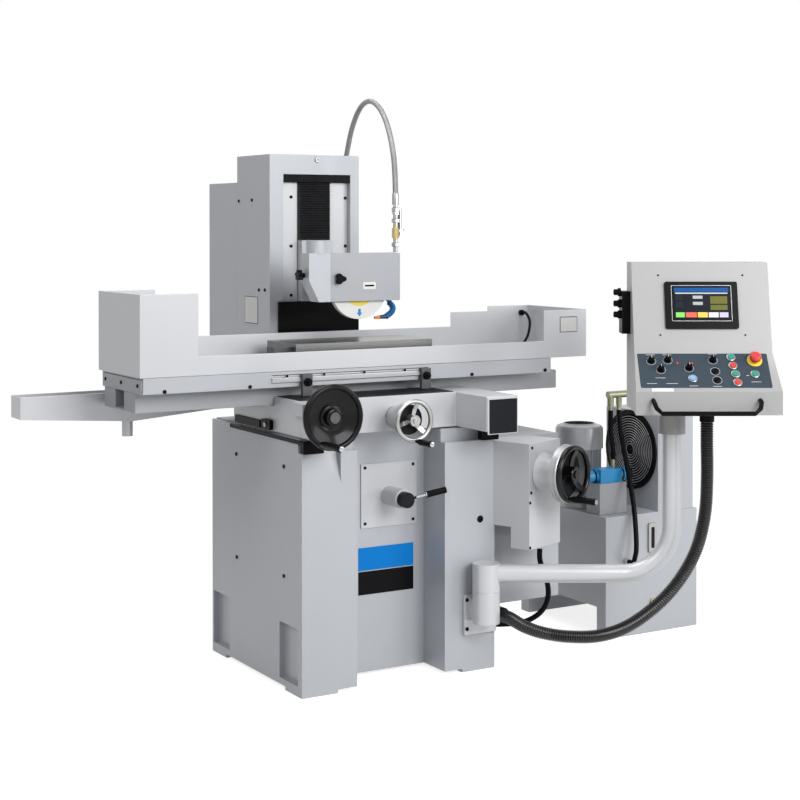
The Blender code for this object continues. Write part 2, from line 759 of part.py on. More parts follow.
def cord(name, route, radius, finish, resolution=2):
    """A cord's tube: a poly curve with a round bevel and filled caps."""
    curve = bpy.data.curves.new(name, "CURVE")
    curve.dimensions = "3D"
    curve.bevel_depth = radius
    curve.bevel_resolution = resolution
    curve.use_fill_caps = True
    points = smooth_route(route, 5 * radius)
    spline = curve.splines.new("POLY")
    spline.points.add(len(points) - 1)
    for target, point in zip(spline.points, points):
        target.co = (*point, 1.0)
    curve.materials.append(finish)
    return link(bpy.data.objects.new(name, curve))


def combine(target, helper, operation):
    """Add or take away a helper's shape."""
    modifier = target.modifiers.new(helper.name, "BOOLEAN")
    modifier.object = helper
    modifier.operation = operation
    modifier.solver = "EXACT"


def cut(target, *helpers):
    """Take the helpers away from a solid."""
    for helper in helpers:
        combine(target, helper, "DIFFERENCE")
    return target


def add(target, *helpers):
    """Join the helpers to a solid."""
    for helper in helpers:
        combine(target, helper, "UNION")
    return target


def about(matrix, *objects):
    """Move objects' meshes by a matrix."""
    for obj in objects:
        obj.data.transform(matrix)
    return objects[0]


def pivot(name, at, parent=None):
    """An empty on a joint's axis."""
    empty = bpy.data.objects.new(name, None)
    empty.empty_display_size = 0.05
    link(empty)
    empty.parent = parent
    empty["at"] = list(at)
    base = Vector(parent["at"]) if parent else Vector((0, 0, 0))
    empty.location = Vector(at) - base
    return empty


def carry(empty, *objects):
    """Hang solids on an empty, with their origins on it."""
    at = Vector(empty["at"])
    for obj in objects:
        obj.data.transform(Matrix.Translation(-at))
        obj.parent = empty


def finish(obj, surface):
    """Give a solid its material."""
    obj.data.materials.clear()
    obj.data.materials.append(surface)
    return obj


def build_base(mats):
    """The hollow base casting, and its cover with the speed lever's boss."""
    left, right, front, back = BASE_LEFT, BASE_RIGHT, BASE_FRONT, BASE_BACK
    pillar_l, pillar_r = left + PILLAR_LEFT_W, right - PILLAR_RIGHT_W
    rear = back + REAR_D
    outline = [
        (left, front), (pillar_l, front), (pillar_l, RECESS_Y), (pillar_r, RECESS_Y), (pillar_r, front),
        (right, front), (right, back), (COLUMN_RIGHT, back), (COLUMN_RIGHT, rear),
        (COLUMN_LEFT, rear), (COLUMN_LEFT, back), (left, back),
    ]
    casting = prism("base_casting", "Z", outline, (FOOT_H, BASE_H))
    wall = BASE_WALL
    inside = [
        (left + wall, RECESS_Y + wall), (right - wall, RECESS_Y + wall), (right - wall, back - wall),
        (COLUMN_RIGHT - wall, back - wall), (COLUMN_RIGHT - wall, rear - wall),
        (COLUMN_LEFT + wall, rear - wall), (COLUMN_LEFT + wall, back - wall), (left + wall, back - wall),
    ]
    cut(
        casting,
        prism("base_hollow", "Z", inside, (-0.1, BASE_H - wall), True),
        box("front_step", (left - 0.1, right + 0.1), (front - 0.1, front + FRONT_STEP_D), (STEP_Z, WAY_TOP + 0.1), True),
    )
    rear_y, front_y = back - POCKET_REAR - POCKET_W, front + POCKET_FRONT
    for i, (edge, y) in enumerate(((left, rear_y), (left, front_y), (right, rear_y))):
        z = (POCKET_FLOOR, POCKET_FLOOR + POCKET_H)
        cut(casting, box(f"lifting_pocket_{i}", (edge - POCKET_D, edge + POCKET_D), (y, y + POCKET_W), z, True))
    scoop = [(front - 0.01, STEP_Z - SCOOP_H), (front + SCOOP_D, STEP_Z + 0.01), (front - 0.01, STEP_Z + 0.01)]
    cut(casting, prism("pillar_scoop", "X", scoop, (left + 0.004, left + SCOOP_W), True))
    foot_x = [(left, left + FOOT_W), (right - FOOT_W, right)]
    foot_y = [(front, front + FOOT_D), (back - FOOT_D, back)]
    for i, x in enumerate(foot_x):
        for j, y in enumerate(foot_y):
            add(casting, box(f"foot_{i}{j}", x, y, (0, FOOT_H + BASE_WALL / 2), True))
    heel = box("heel", (COLUMN_LEFT, COLUMN_RIGHT), (rear - wall, rear), (0, FOOT_H + wall), True)
    add(casting, heel)
    way_y = (front + FRONT_STEP_D + 0.010, back - 0.005)
    for side, x in (("left", SADDLE_LEFT + WAY_INSET), ("right", SADDLE_RIGHT - WAY_INSET - WAY_W)):
        add(casting, box(f"way_{side}", (x, x + WAY_W), way_y, (BASE_H - 0.01, WAY_TOP), True))
    x, y, z = right + CONDUIT_OUT, front - CONDUIT_AHEAD, CONDUIT_Z
    elbow = cylinder("conduit_elbow", (x, y, z), (0, 1, 0), CONDUIT_R + 0.005, ELBOW_L, 24, True)
    stub_x = right - wall / 2
    stub = cylinder("elbow_stub", (stub_x, y + 0.6 * ELBOW_L, z), (1, 0, 0), CONDUIT_R, x - stub_x, 24, True)
    gland_at = (stub_x, front + BASE_GLAND[0], BASE_GLAND[1])
    gland = cylinder("base_gland", gland_at, (1, 0, 0), HOSE_GLAND_R, BASE_GLAND_L + wall / 2, 16, True)
    add(casting, elbow, stub, gland)
    finish(casting, mats["grey_paint"])

    middle = (pillar_l + pillar_r) / 2
    face = RECESS_Y - GAP
    cover_x = (middle + COVER_SHIFT - COVER_W / 2, middle + COVER_SHIFT + COVER_W / 2)
    cover = box("base_front_cover", cover_x, (face - COVER_T, face), COVER_Z)
    x = middle + COVER_SHIFT
    back = face - COVER_T
    add(cover, cylinder("speed_lever_boss", (x, back + 0.002, LEVER_Z), (0, -1, 0), LEVER_BOSS_R, LEVER_BOSS_L, 28, True))
    finish(cover, mats["grey_paint"])
    return x, back + 0.002 - LEVER_BOSS_L - GAP


def build_speed_lever(mats, x, front):
    """The table speed lever on its boss."""
    hub = cylinder("speed_lever", (x, front, LEVER_Z), (0, -1, 0), LEVER_HUB_R, LEVER_HUB_L)
    along = Vector((math.cos(LEVER_RISE) * math.cos(LEVER_LEAN), -math.sin(LEVER_LEAN), math.sin(LEVER_RISE)))
    start = Vector((x, front - LEVER_HUB_L / 2, LEVER_Z))
    rod = cylinder("speed_lever_rod", start, along, LEVER_ROD_R, LEVER_REACH, 16, True)
    grip_at = start + along * (LEVER_REACH + 0.005 - LEVER_GRIP_L)
    grip = cylinder("speed_lever_grip", grip_at, along, LEVER_GRIP_R, LEVER_GRIP_L, 20, True)
    add(hub, rod, grip)
    finish(hub, mats["black"])
    carry(pivot("speed_lever_axis", (x, front, LEVER_Z)), hub)


def build_column(mats):
    """The column, its way covers, bellows, rear cover and elevation screw."""
    casting = box("column_casting", (COLUMN_LEFT, COLUMN_RIGHT), (COLUMN_Y, COLUMN_BACK), (BASE_H + GAP, COLUMN_TOP))
    foot_y = (COLUMN_BACK - 0.01, BASE_BACK + REAR_D - GAP)
    add(casting, box("column_foot", (COLUMN_LEFT, COLUMN_RIGHT), foot_y, (BASE_H + GAP, REAR_COVER_Z[0] - GAP), True))
    well = box("column_well", OPEN_X, (COLUMN_Y - 0.1, COLUMN_Y + OPENING_D), OPENING_Z, True)
    cut(casting, well)
    rib_y = (CARRIAGE_BACK + GAP, COLUMN_Y + OPENING_D + 0.005)
    for side in (-1, 1):
        x = CENTRE_X + side * RIB_SPAN / 2
        rib_x = (x - RIB_W / 2, x + RIB_W / 2)
        add(casting, box(f"column_way_{side + 1}", rib_x, rib_y, (OPENING_Z[0] - 0.005, OPENING_Z[1] + 0.005), True))
    elbow_at = (COLUMN_RIGHT - 0.010, ELBOW_Y, ELBOW_Z)
    reach = ELBOW_X + ELBOW_R - elbow_at[0]
    elbow = cylinder("coolant_elbow", elbow_at, (1, 0, 0), ELBOW_R, reach, 16, True)
    riser = cylinder("elbow_riser", (ELBOW_X, ELBOW_Y, ELBOW_Z), (0, 0, 1), ELBOW_R * 0.95, ELBOW_RISE, 16, True)
    add(casting, elbow, riser)
    finish(casting, mats["grey_paint"])

    rear_y = (COLUMN_BACK + GAP, COLUMN_BACK + GAP + REAR_COVER_D)
    cover = box("column_rear_cover", (COLUMN_LEFT, COLUMN_RIGHT), rear_y, REAR_COVER_Z)
    inner_x = (COLUMN_LEFT + SHEET, COLUMN_RIGHT - SHEET)
    inner_z = (REAR_COVER_Z[0] + SHEET, REAR_COVER_Z[1] - SHEET)
    cut(cover, box("rear_hollow", inner_x, (rear_y[0] - 0.1, rear_y[1] - SHEET), inner_z, True))
    finish(cover, mats["grey_paint"])

    cover_x = (OPEN_X[0] + GAP, OPEN_X[1] - GAP)
    panel_y = (COLUMN_Y + PANEL_INSET, COLUMN_Y + PANEL_INSET + SHEET)
    cover_z = (OPENING_Z[0] + GAP, OPENING_Z[1] - GAP)
    panel = box("column_way_cover", cover_x, panel_y, cover_z)
    cut(panel, box("cover_slot", SLOT_X, (panel_y[0] - 0.1, panel_y[1] + 0.1), (OPENING_Z[0] - 0.1, TOP_BAR_Z), True))
    bar_y = (COLUMN_Y + 0.002, panel_y[1])
    add(panel, box("cover_bar", cover_x, bar_y, (TOP_BAR_Z, cover_z[1]), True))
    finish(panel, mats["grey_paint"])

    low, high = NECK_TOP + GAP, TOP_BAR_Z - GAP
    folds = 17
    front_y, back_y = COLUMN_Y + 0.003, CARRIAGE_Y - 0.010
    valley = front_y + 0.010
    pitch = (high - low) / folds
    outline = [(back_y, low), (back_y, high), (valley, high)]
    for i in range(folds, 0, -1):
        outline.append((front_y, low + (i - 0.5) * pitch))
        outline.append((valley, low + (i - 1) * pitch))
    bellows_x = (SLOT_X[0] + SLIDE, SLOT_X[1] - SLIDE)
    finish(prism("way_bellows", "X", outline, bellows_x), mats["rubber"])

    at = (CENTRE_X + SCREW_OFFSET, (CARRIAGE_Y + CARRIAGE_BACK) / 2, OPENING_Z[0] + GAP)
    screw = cylinder("elevation_screw", at, (0, 0, 1), SCREW_R, OPENING_Z[1] - OPENING_Z[0] - 2 * GAP, 20)
    finish(screw, mats["steel"])
    carry(pivot("elevation_screw_axis", at), screw)


def build_wheelhead(mats):
    """The wheelhead that slides on the column, with its spindle, wheel and guard."""
    head = pivot("wheelhead_slide", (CENTRE_X, NECK_Y, SPINDLE_Z))
    length = NECK_Y - HOUSING_FRONT + 0.01
    at = (CENTRE_X, HOUSING_FRONT, SPINDLE_Z)
    profile = [
        (0, 0), (HOUSING_FLANGE_R, 0), (HOUSING_FLANGE_R, HOUSING_FLANGE_T),
        (HOUSING_R, HOUSING_FLANGE_T), (HOUSING_R, length), (0, length),
    ]
    housing = turned("wheelhead_housing", profile, at, (0, 1, 0))
    neck_x = (SLOT_X[0] + SLIDE, SLOT_X[1] - SLIDE)
    neck_z = (APRON_Z[1] - 0.010, NECK_TOP)
    carriage_x = (CENTRE_X - CARRIAGE_W / 2, CENTRE_X + CARRIAGE_W / 2)
    add(
        housing,
        box("head_neck", neck_x, (NECK_Y, CARRIAGE_Y + 0.01), neck_z, True),
        box("head_carriage", carriage_x, (CARRIAGE_Y, CARRIAGE_BACK), neck_z, True),
    )
    apron_y = (COLUMN_Y - APRON_GAP - APRON_T, COLUMN_Y - APRON_GAP)
    bar_z = (APRON_Z[1] - APRON_BAR_H, APRON_Z[1])
    bar_y = (apron_y[0] - APRON_BAR_T, apron_y[0] + APRON_T / 2)
    motor_at = (CENTRE_X, CARRIAGE_BACK - 0.005, SPINDLE_Z)
    add(
        housing,
        box("head_apron", APRON_X, apron_y, APRON_Z, True),
        box("apron_bar", (APRON_X[0], APRON_X[0] + APRON_BAR_W), bar_y, bar_z, True),
        cylinder("head_motor", motor_at, (0, 1, 0), MOTOR_R, MOTOR_L + 0.005, SIDES, True),
    )
    bore_at = (CENTRE_X, HOUSING_FRONT - 0.1, SPINDLE_Z)
    bore_l = CARRIAGE_BACK + MOTOR_L - 0.020 - bore_at[1]
    bore = cylinder("spindle_bore", bore_at, (0, 1, 0), BEARING_R, bore_l, SIDES, True)
    nut_at = (CENTRE_X + SCREW_OFFSET, (CARRIAGE_Y + CARRIAGE_BACK) / 2, 1)
    nut = cylinder("nut_bore", nut_at, (0, 0, 1), SCREW_R + RUN, 0.5, 20, True)
    cut(housing, bore, nut)
    finish(housing, mats["grey_paint"])

    cartridge_at = (CENTRE_X, HOUSING_FRONT + 0.010, SPINDLE_Z)
    cartridge_l = CARRIAGE_BACK - 0.010 - cartridge_at[1]
    cartridge = ring("spindle_cartridge", cartridge_at, (0, 1, 0), SPINDLE_R + RUN, BEARING_R - GAP, cartridge_l)
    finish(cartridge, mats["steel"])

    outline = [
        (GUARD_LEFT, GUARD_Z[0] + GUARD_CUT[1]), (GUARD_LEFT + GUARD_CUT[0], GUARD_Z[0]),
        (GUARD_SPLIT - GAP, GUARD_Z[0]), (GUARD_SPLIT - GAP, GUARD_Z[1]), (GUARD_LEFT, GUARD_Z[1]),
    ]
    body = prism("wheel_guard_body", "Y", outline, (GUARD_Y, GUARD_BACK))
    plate_y = (GUARD_BACK - GUARD_BACK_T, GUARD_BACK)
    add(body, box("guard_back_plate", (GUARD_SPLIT - 0.01, GUARD_RIGHT), plate_y, GUARD_Z, True))
    pocket_z = (GUARD_Z[0] + GUARD_CUT[1] + 0.006, GUARD_Z[1] - GUARD_SHEET)
    pocket_x = (GUARD_LEFT + GUARD_SHEET, GUARD_SPLIT + 0.1)
    cut(
        body,
        box("guard_pocket", pocket_x, (GUARD_Y + GUARD_SHEET, plate_y[0]), pocket_z, True),
        cylinder("dust_hole", (DUST_X, (GUARD_Y + GUARD_BACK) / 2, GUARD_Z[1] - 0.01), (0, 0, 1), DUST_R - 0.010, 0.1, 20, True),
        cylinder("guard_bore", (CENTRE_X, 0.2, SPINDLE_Z), (0, 1, 0), SPINDLE_R + 0.004, 0.2, SIDES, True),
    )
    dust_at = (DUST_X, (GUARD_Y + GUARD_BACK) / 2, GUARD_Z[1] - GUARD_SHEET / 2)
    dust_r = min(DUST_R, (GUARD_BACK - GUARD_Y) / 2 + 0.004)
    add(body, ring("dust_port", dust_at, (0, 0, 1), dust_r - 0.003, dust_r, DUST_H, 28, True))
    finish(body, mats["grey_paint"])

    cover_x = (GUARD_SPLIT, GUARD_RIGHT)
    cover_y = (GUARD_Y, plate_y[0] - GAP)
    cover = box("wheel_guard_cover", cover_x, cover_y, GUARD_Z)
    hollow_x = (cover_x[0] + GUARD_SHEET, cover_x[1] - GUARD_SHEET)
    hollow_z = (GUARD_Z[0] - 0.1, GUARD_Z[1] - GUARD_SHEET)
    cut(cover, box("cover_hollow", hollow_x, (GUARD_Y + GUARD_SHEET, GUARD_BACK), hollow_z, True))
    finish(cover, mats["grey_paint"])
    hinge_at = (GUARD_RIGHT + HINGE_R + GAP, cover_y[1] + GAP, GUARD_Z[0] + 0.012)
    cover_axis = pivot("guard_cover_hinge", hinge_at, head)
    pin_l = GUARD_Z[1] - BLOCK_H - GAP - hinge_at[2]
    arm = box("hinge_leaf", (GUARD_RIGHT - 0.005, hinge_at[0]), plate_y, (hinge_at[2], hinge_at[2] + pin_l), True)
    add(body, arm, cylinder("hinge_pin", hinge_at, (0, 0, 1), HINGE_R, pin_l, 16, True))
    carry(cover_axis, cover)

    knob_at = (GUARD_KNOB[0], GUARD_Y - GAP, GUARD_KNOB[1])
    knob = lobed_knob("guard_cover_knob", knob_at, (0, -1, 0), 3, KNOB_R, KNOB_T)
    finish(knob, mats["black"])
    carry(pivot("guard_knob_axis", knob_at, cover_axis), knob)
    star_at = (GUARD_LEFT - GAP, STAR_Y, STAR_Z)
    star = finish(lobed_knob("guard_star_knob", star_at, (-1, 0, 0), 5, KNOB_R * 0.9, KNOB_T * 1.4), mats["black"])
    carry(pivot("star_knob_axis", star_at, head), star)

    carry(head, housing, cartridge, body)
    build_spindle(mats, head)
    return head, cover_y[1]


def lobed_knob(name, at, axis, lobes, radius, thickness):
    """A clamp knob whose rim swells into lobes."""
    bm = bmesh.new()
    steps = 8 * lobes
    verts = []
    for i in range(steps):
        angle = 2 * math.pi * i / steps
        reach = radius * (0.80 + 0.20 * math.cos(lobes * angle))
        verts.append(bm.verts.new((reach * math.cos(angle), reach * math.sin(angle), thickness * 0.35)))
    face = bm.faces.new(verts)
    made = bmesh.ops.extrude_face_region(bm, geom=[face])
    moved = [v for v in made["geom"] if isinstance(v, bmesh.types.BMVert)]
    bmesh.ops.translate(bm, verts=moved, vec=(0, 0, thickness * 0.65))
    bmesh.ops.transform(bm, matrix=Matrix.Translation(at) @ frame_along(axis), verts=bm.verts[:])
    knob = from_bmesh(name, bm)
    stem = cylinder(f"{name}_stem", at, axis, radius * 0.45, thickness * 0.6, 16, True)
    return add(knob, stem)


def build_spindle(mats, head):
    """The spindle and the grinding wheel, which turn together."""
    axis = pivot("spindle_axis", (CENTRE_X, WHEEL_Y, SPINDLE_Z), head)
    back = CARRIAGE_BACK + 0.050
    nose = WHEEL_Y - SPINDLE_NOSE
    shaft = cylinder("spindle_shaft", (CENTRE_X, nose, SPINDLE_Z), (0, 1, 0), SPINDLE_R, back - nose)
    flange_at = (CENTRE_X, WHEEL_Y + WHEEL_T + GAP, SPINDLE_Z)
    add(shaft, cylinder("wheel_flange", flange_at, (0, 1, 0), FLANGE_R, FLANGE_T, SIDES, True))
    finish(shaft, mats["steel"])
    wheel_at = (CENTRE_X, WHEEL_Y, SPINDLE_Z)
    wheel = ring("grinding_wheel", wheel_at, (0, 1, 0), SPINDLE_R + GAP, WHEEL_R, WHEEL_T, 64)
    finish(wheel, mats["abrasive"])
    carry(axis, shaft, wheel)


def build_coolant(mats, head, cover_back):
    """The coolant valve on the guard, its lever, the blue hose, nozzle and braided hose."""
    y = cover_back + 2 * GAP + BLOCK_W / 3
    block_x = (GUARD_RIGHT + GAP, GUARD_RIGHT + GAP + BLOCK_W)
    block_z = (GUARD_Z[1] - BLOCK_H, GUARD_Z[1])
    behind = (GUARD_BACK + GAP, GUARD_BACK + GAP + 2.4 * FEED_R)
    valve = box("coolant_valve", block_x, (cover_back + 2 * GAP, behind[1]), block_z)
    tail = box("valve_tail", (GUARD_RIGHT + HOSE_BENDS[0][0] - FEED_R - 0.002, block_x[0] + 0.005), behind, block_z, True)
    at = (VALVE_X, y, GUARD_Z[1] - 0.005)
    stem = cylinder("valve_stem", at, (0, 0, 1), VALVE_R, VALVE_H + 0.005, 20, True)
    barrel_z = VALVE_LEVER_Z - 0.016
    barrel = cylinder("valve_barrel", (VALVE_X, y, barrel_z), (0, 0, 1), VALVE_BODY_R, 0.032, 8, True)
    coupling = cylinder("valve_nut", (VALVE_X, y, GUARD_Z[1] + VALVE_H - 0.030), (0, 0, 1), VALVE_BODY_R, 0.022, 6, True)
    add(valve, stem, barrel, coupling)
    bends = [Vector(GUARD_CORNER) + Vector(p) for p in HOSE_BENDS]
    hose = pipe("coolant_nozzle_hose", smooth_route(bends, 0.012), SEGMENT_R, 12, True)
    start = bends[-1]
    along = Vector(GUARD_CORNER) + Vector(NOZZLE_TIP) - start
    profile = [(0, -0.004), (SEGMENT_R, -0.004), (SEGMENT_R * 0.55, along.length), (0, along.length)]
    nozzle = turned("coolant_nozzle", profile, start, along, 16, True)
    low = bends[0].z - 0.004
    feed_y = (behind[0] + behind[1]) / 2
    feed = cylinder("hose_feed", (bends[0].x, feed_y, low), (0, 0, 1), FEED_R, block_z[0] + 0.005 - low, 12, True)
    add(valve, tail, feed, hose, nozzle)
    finish(valve, mats["chrome"])
    lever_at = (VALVE_X + VALVE_BODY_R + GAP, y, VALVE_LEVER_Z)
    lever_x = (lever_at[0], lever_at[0] + 0.004)
    lever_z = (VALVE_LEVER_Z - 0.009, VALVE_LEVER_Z + VALVE_LEVER_L)
    lever = finish(box("coolant_valve_lever", lever_x, (y - 0.006, y + 0.006), lever_z), mats["steel"])
    carry(pivot("valve_lever_axis", lever_at, head), lever)

    carry(head, valve)
    cord("braided_coolant_hose", BRAID_ROUTE, BRAID_R, mats["steel"])


def handwheel(name, size, at, axis, grip_angle, mats, surface, parent, shaft_back):
    """A dished handwheel with a revolving grip, each on its own axis."""
    r, width, rim, hub_r, hub = (size[k] for k in ("r", "width", "rim", "hub_r", "hub"))
    half = width / 2
    profile = [
        (0, -hub / 2), (hub_r, -hub / 2), (hub_r, -0.004), (r - rim, -half * 0.45), (r - rim * 0.5, -half),
        (r, -half * 0.5), (r, half * 0.5), (r - rim * 0.5, half), (r - rim, half * 0.45), (hub_r, 0.006),
        (hub_r, hub / 2 - 0.008), (hub_r * 0.7, hub / 2), (0, hub / 2),
    ]
    wheel = turned(name, profile, at, axis, 36)
    at, axis = Vector(at), Vector(axis).normalized()
    shaft_r = hub_r * 0.45
    if shaft_back > 0:
        add(wheel, cylinder(f"{name}_shaft", at - axis * (hub / 2 - 0.01), -axis, shaft_r, shaft_back, 16, True))
    finish(wheel, surface)
    empty = pivot(f"{name}_axis", at, parent)
    carry(empty, wheel)
    frame = frame_along(axis)
    side = frame.to_3x3() @ Vector((math.cos(grip_angle), math.sin(grip_angle), 0))
    start = at + side * (r - rim * 0.5) + axis * (half + GAP)
    length, grip_r = size["grip"], size["grip_r"]
    profile = [
        (0, 0), (grip_r * 0.55, 0), (grip_r * 0.55, GRIP_STUB), (grip_r * 0.8, GRIP_STUB), (grip_r, length * 0.35),
        (grip_r * 0.92, length * 0.75), (grip_r, length + GRIP_STUB - 0.008), (grip_r * 0.7, length + GRIP_STUB),
        (0, length + GRIP_STUB),
    ]
    grip = finish(turned(f"{name}_grip", profile, start, axis, 16), mats["black"])
    carry(pivot(f"{name}_grip_axis", start, empty), grip)
    return wheel


def build_saddle(mats):
    """The saddle, its long table beam, covers, handwheels and coolant trough."""
    saddle = pivot("saddle_slide", (CENTRE_X, SADDLE_FRONT, SADDLE_Z[0]))
    left, right = SADDLE_LEFT, SADDLE_RIGHT
    shelf = [
        (left, ARM_LEFT_FRONT), (left + ARM_W, ARM_LEFT_FRONT), (left + ARM_W, SADDLE_FRONT),
        (right - ARM_W, SADDLE_FRONT), (right - ARM_W, ARM_RIGHT_FRONT), (right, ARM_RIGHT_FRONT),
        (right, SHELF_BACK - GAP), (left, SHELF_BACK - GAP),
    ]
    casting = prism("saddle_casting", "Z", shelf, SADDLE_Z)
    bed_z = (SADDLE_Z[0], BEAM_Z[0] - GAP)
    add(casting, box("saddle_bed", (left, right), (SHELF_BACK - 0.01, SADDLE_BACK), bed_z, True))
    shaft_y = ARM_LEFT_FRONT
    boss_at = (TABLE_WHEEL_X, shaft_y + 0.005, TABLE_WHEEL_Z)
    add(casting, cylinder("table_wheel_boss", boss_at, (0, -1, 0), TABLE_BOSS_R, TABLE_BOSS_L + 0.005, 28, True))
    cut(
        casting,
        cylinder("drive_bore", (TABLE_WHEEL_X, shaft_y - 0.1, TABLE_WHEEL_Z), (0, 1, 0), 0.014, 0.26, 16, True),
        cylinder("feed_bore", (CENTRE_X, SADDLE_FRONT - 0.1, CROSS_WHEEL_Z), (0, 1, 0), 0.012, 0.36, 16, True),
    )
    finish(casting, mats["white_paint"])

    beam = box("saddle_way_beam", BEAM_X, BEAM_Y, BEAM_Z)
    middle = (BEAM_Y[0] + BEAM_Y[1]) / 2
    slot_y = (middle - BEAM_SLOT_W / 2, middle + BEAM_SLOT_W / 2)
    cut(beam, box("beam_slot", (BEAM_X[0] - 0.1, BEAM_X[1] + 0.1), slot_y, (BEAM_Z[0] + BEAM_FLOOR, BEAM_Z[1] + 0.1), True))
    finish(beam, mats["grey_paint"])

    axis_z = BEAM_Z[0] + BEAM_FLOOR + GAP + CYLINDER_R
    at = (CENTRE_X - CYLINDER_L / 2, middle, axis_z)
    tube = finish(ring("table_cylinder", at, (1, 0, 0), ROD_R + RUN, CYLINDER_R, CYLINDER_L, 24), mats["steel"])

    trough = build_trough(mats)
    carry(saddle, casting, beam, tube, trough)

    y = shaft_y - TABLE_BOSS_L - GAP - TABLE_WHEEL["hub"] / 2
    at = (TABLE_WHEEL_X, y, TABLE_WHEEL_Z)
    handwheel("table_handwheel", TABLE_WHEEL, at, (0, -1, 0), TABLE_GRIP, mats, mats["black"], saddle, 0.160)
    y = SADDLE_FRONT - GAP - CROSS_DIAL_L - CROSS_WHEEL["hub"] / 2
    at = (CENTRE_X, y, CROSS_WHEEL_Z)
    wheel = handwheel("cross_handwheel", CROSS_WHEEL, at, (0, -1, 0), CROSS_GRIP, mats, mats["chrome"], saddle, 0.220)
    collar = [(0, -0.005), (CROSS_DIAL_R * 0.8, -0.005), (CROSS_DIAL_R * 0.8, CROSS_DIAL_L - 0.030),
              (CROSS_DIAL_R, CROSS_DIAL_L - 0.026), (CROSS_DIAL_R, CROSS_DIAL_L), (0, CROSS_DIAL_L)]
    dial = turned("cross_feed_dial", collar, (0, CROSS_WHEEL["hub"] / 2, 0), (0, 1, 0), 28, True)
    dial.parent = wheel.parent
    add(wheel, dial)
    return saddle, middle, axis_z


def build_trough(mats):
    """The coolant trough behind the table, with its drain."""
    x0, x1 = TROUGH_X
    y0, y1 = TROUGH_Y
    top = TROUGH_TOP
    outline = [(x0, top - TROUGH_TIP_H), (TROUGH_LOW_X, top - TROUGH_DEEP), (x1, top - TROUGH_END_H), (x1, top), (x0, top)]
    trough = prism("coolant_trough", "Y", outline, TROUGH_Y)
    wall = TROUGH_WALL
    inner = [
        (x0 + wall, top - TROUGH_TIP_H + wall), (TROUGH_LOW_X, top - TROUGH_DEEP + wall),
        (x1 - wall, top - TROUGH_END_H + wall), (x1 - wall, top + 0.1), (x0 + wall, top + 0.1),
    ]
    cut(trough, prism("trough_hollow", "Y", inner, (y0 + wall, y1 - wall), True))
    low = top - TROUGH_DEEP
    at = (TROUGH_LOW_X, (y0 + y1) / 2, low + wall)
    add(trough, cylinder("trough_drain", at, (0, 0, -1), DRAIN_R, DRAIN_L + wall, 24, True))
    cut(trough, cylinder("drain_bore", (at[0], at[1], low - 0.1), (0, 0, 1), DRAIN_R - 0.003, 0.12, 24, True))
    return finish(trough, mats["white_paint"])


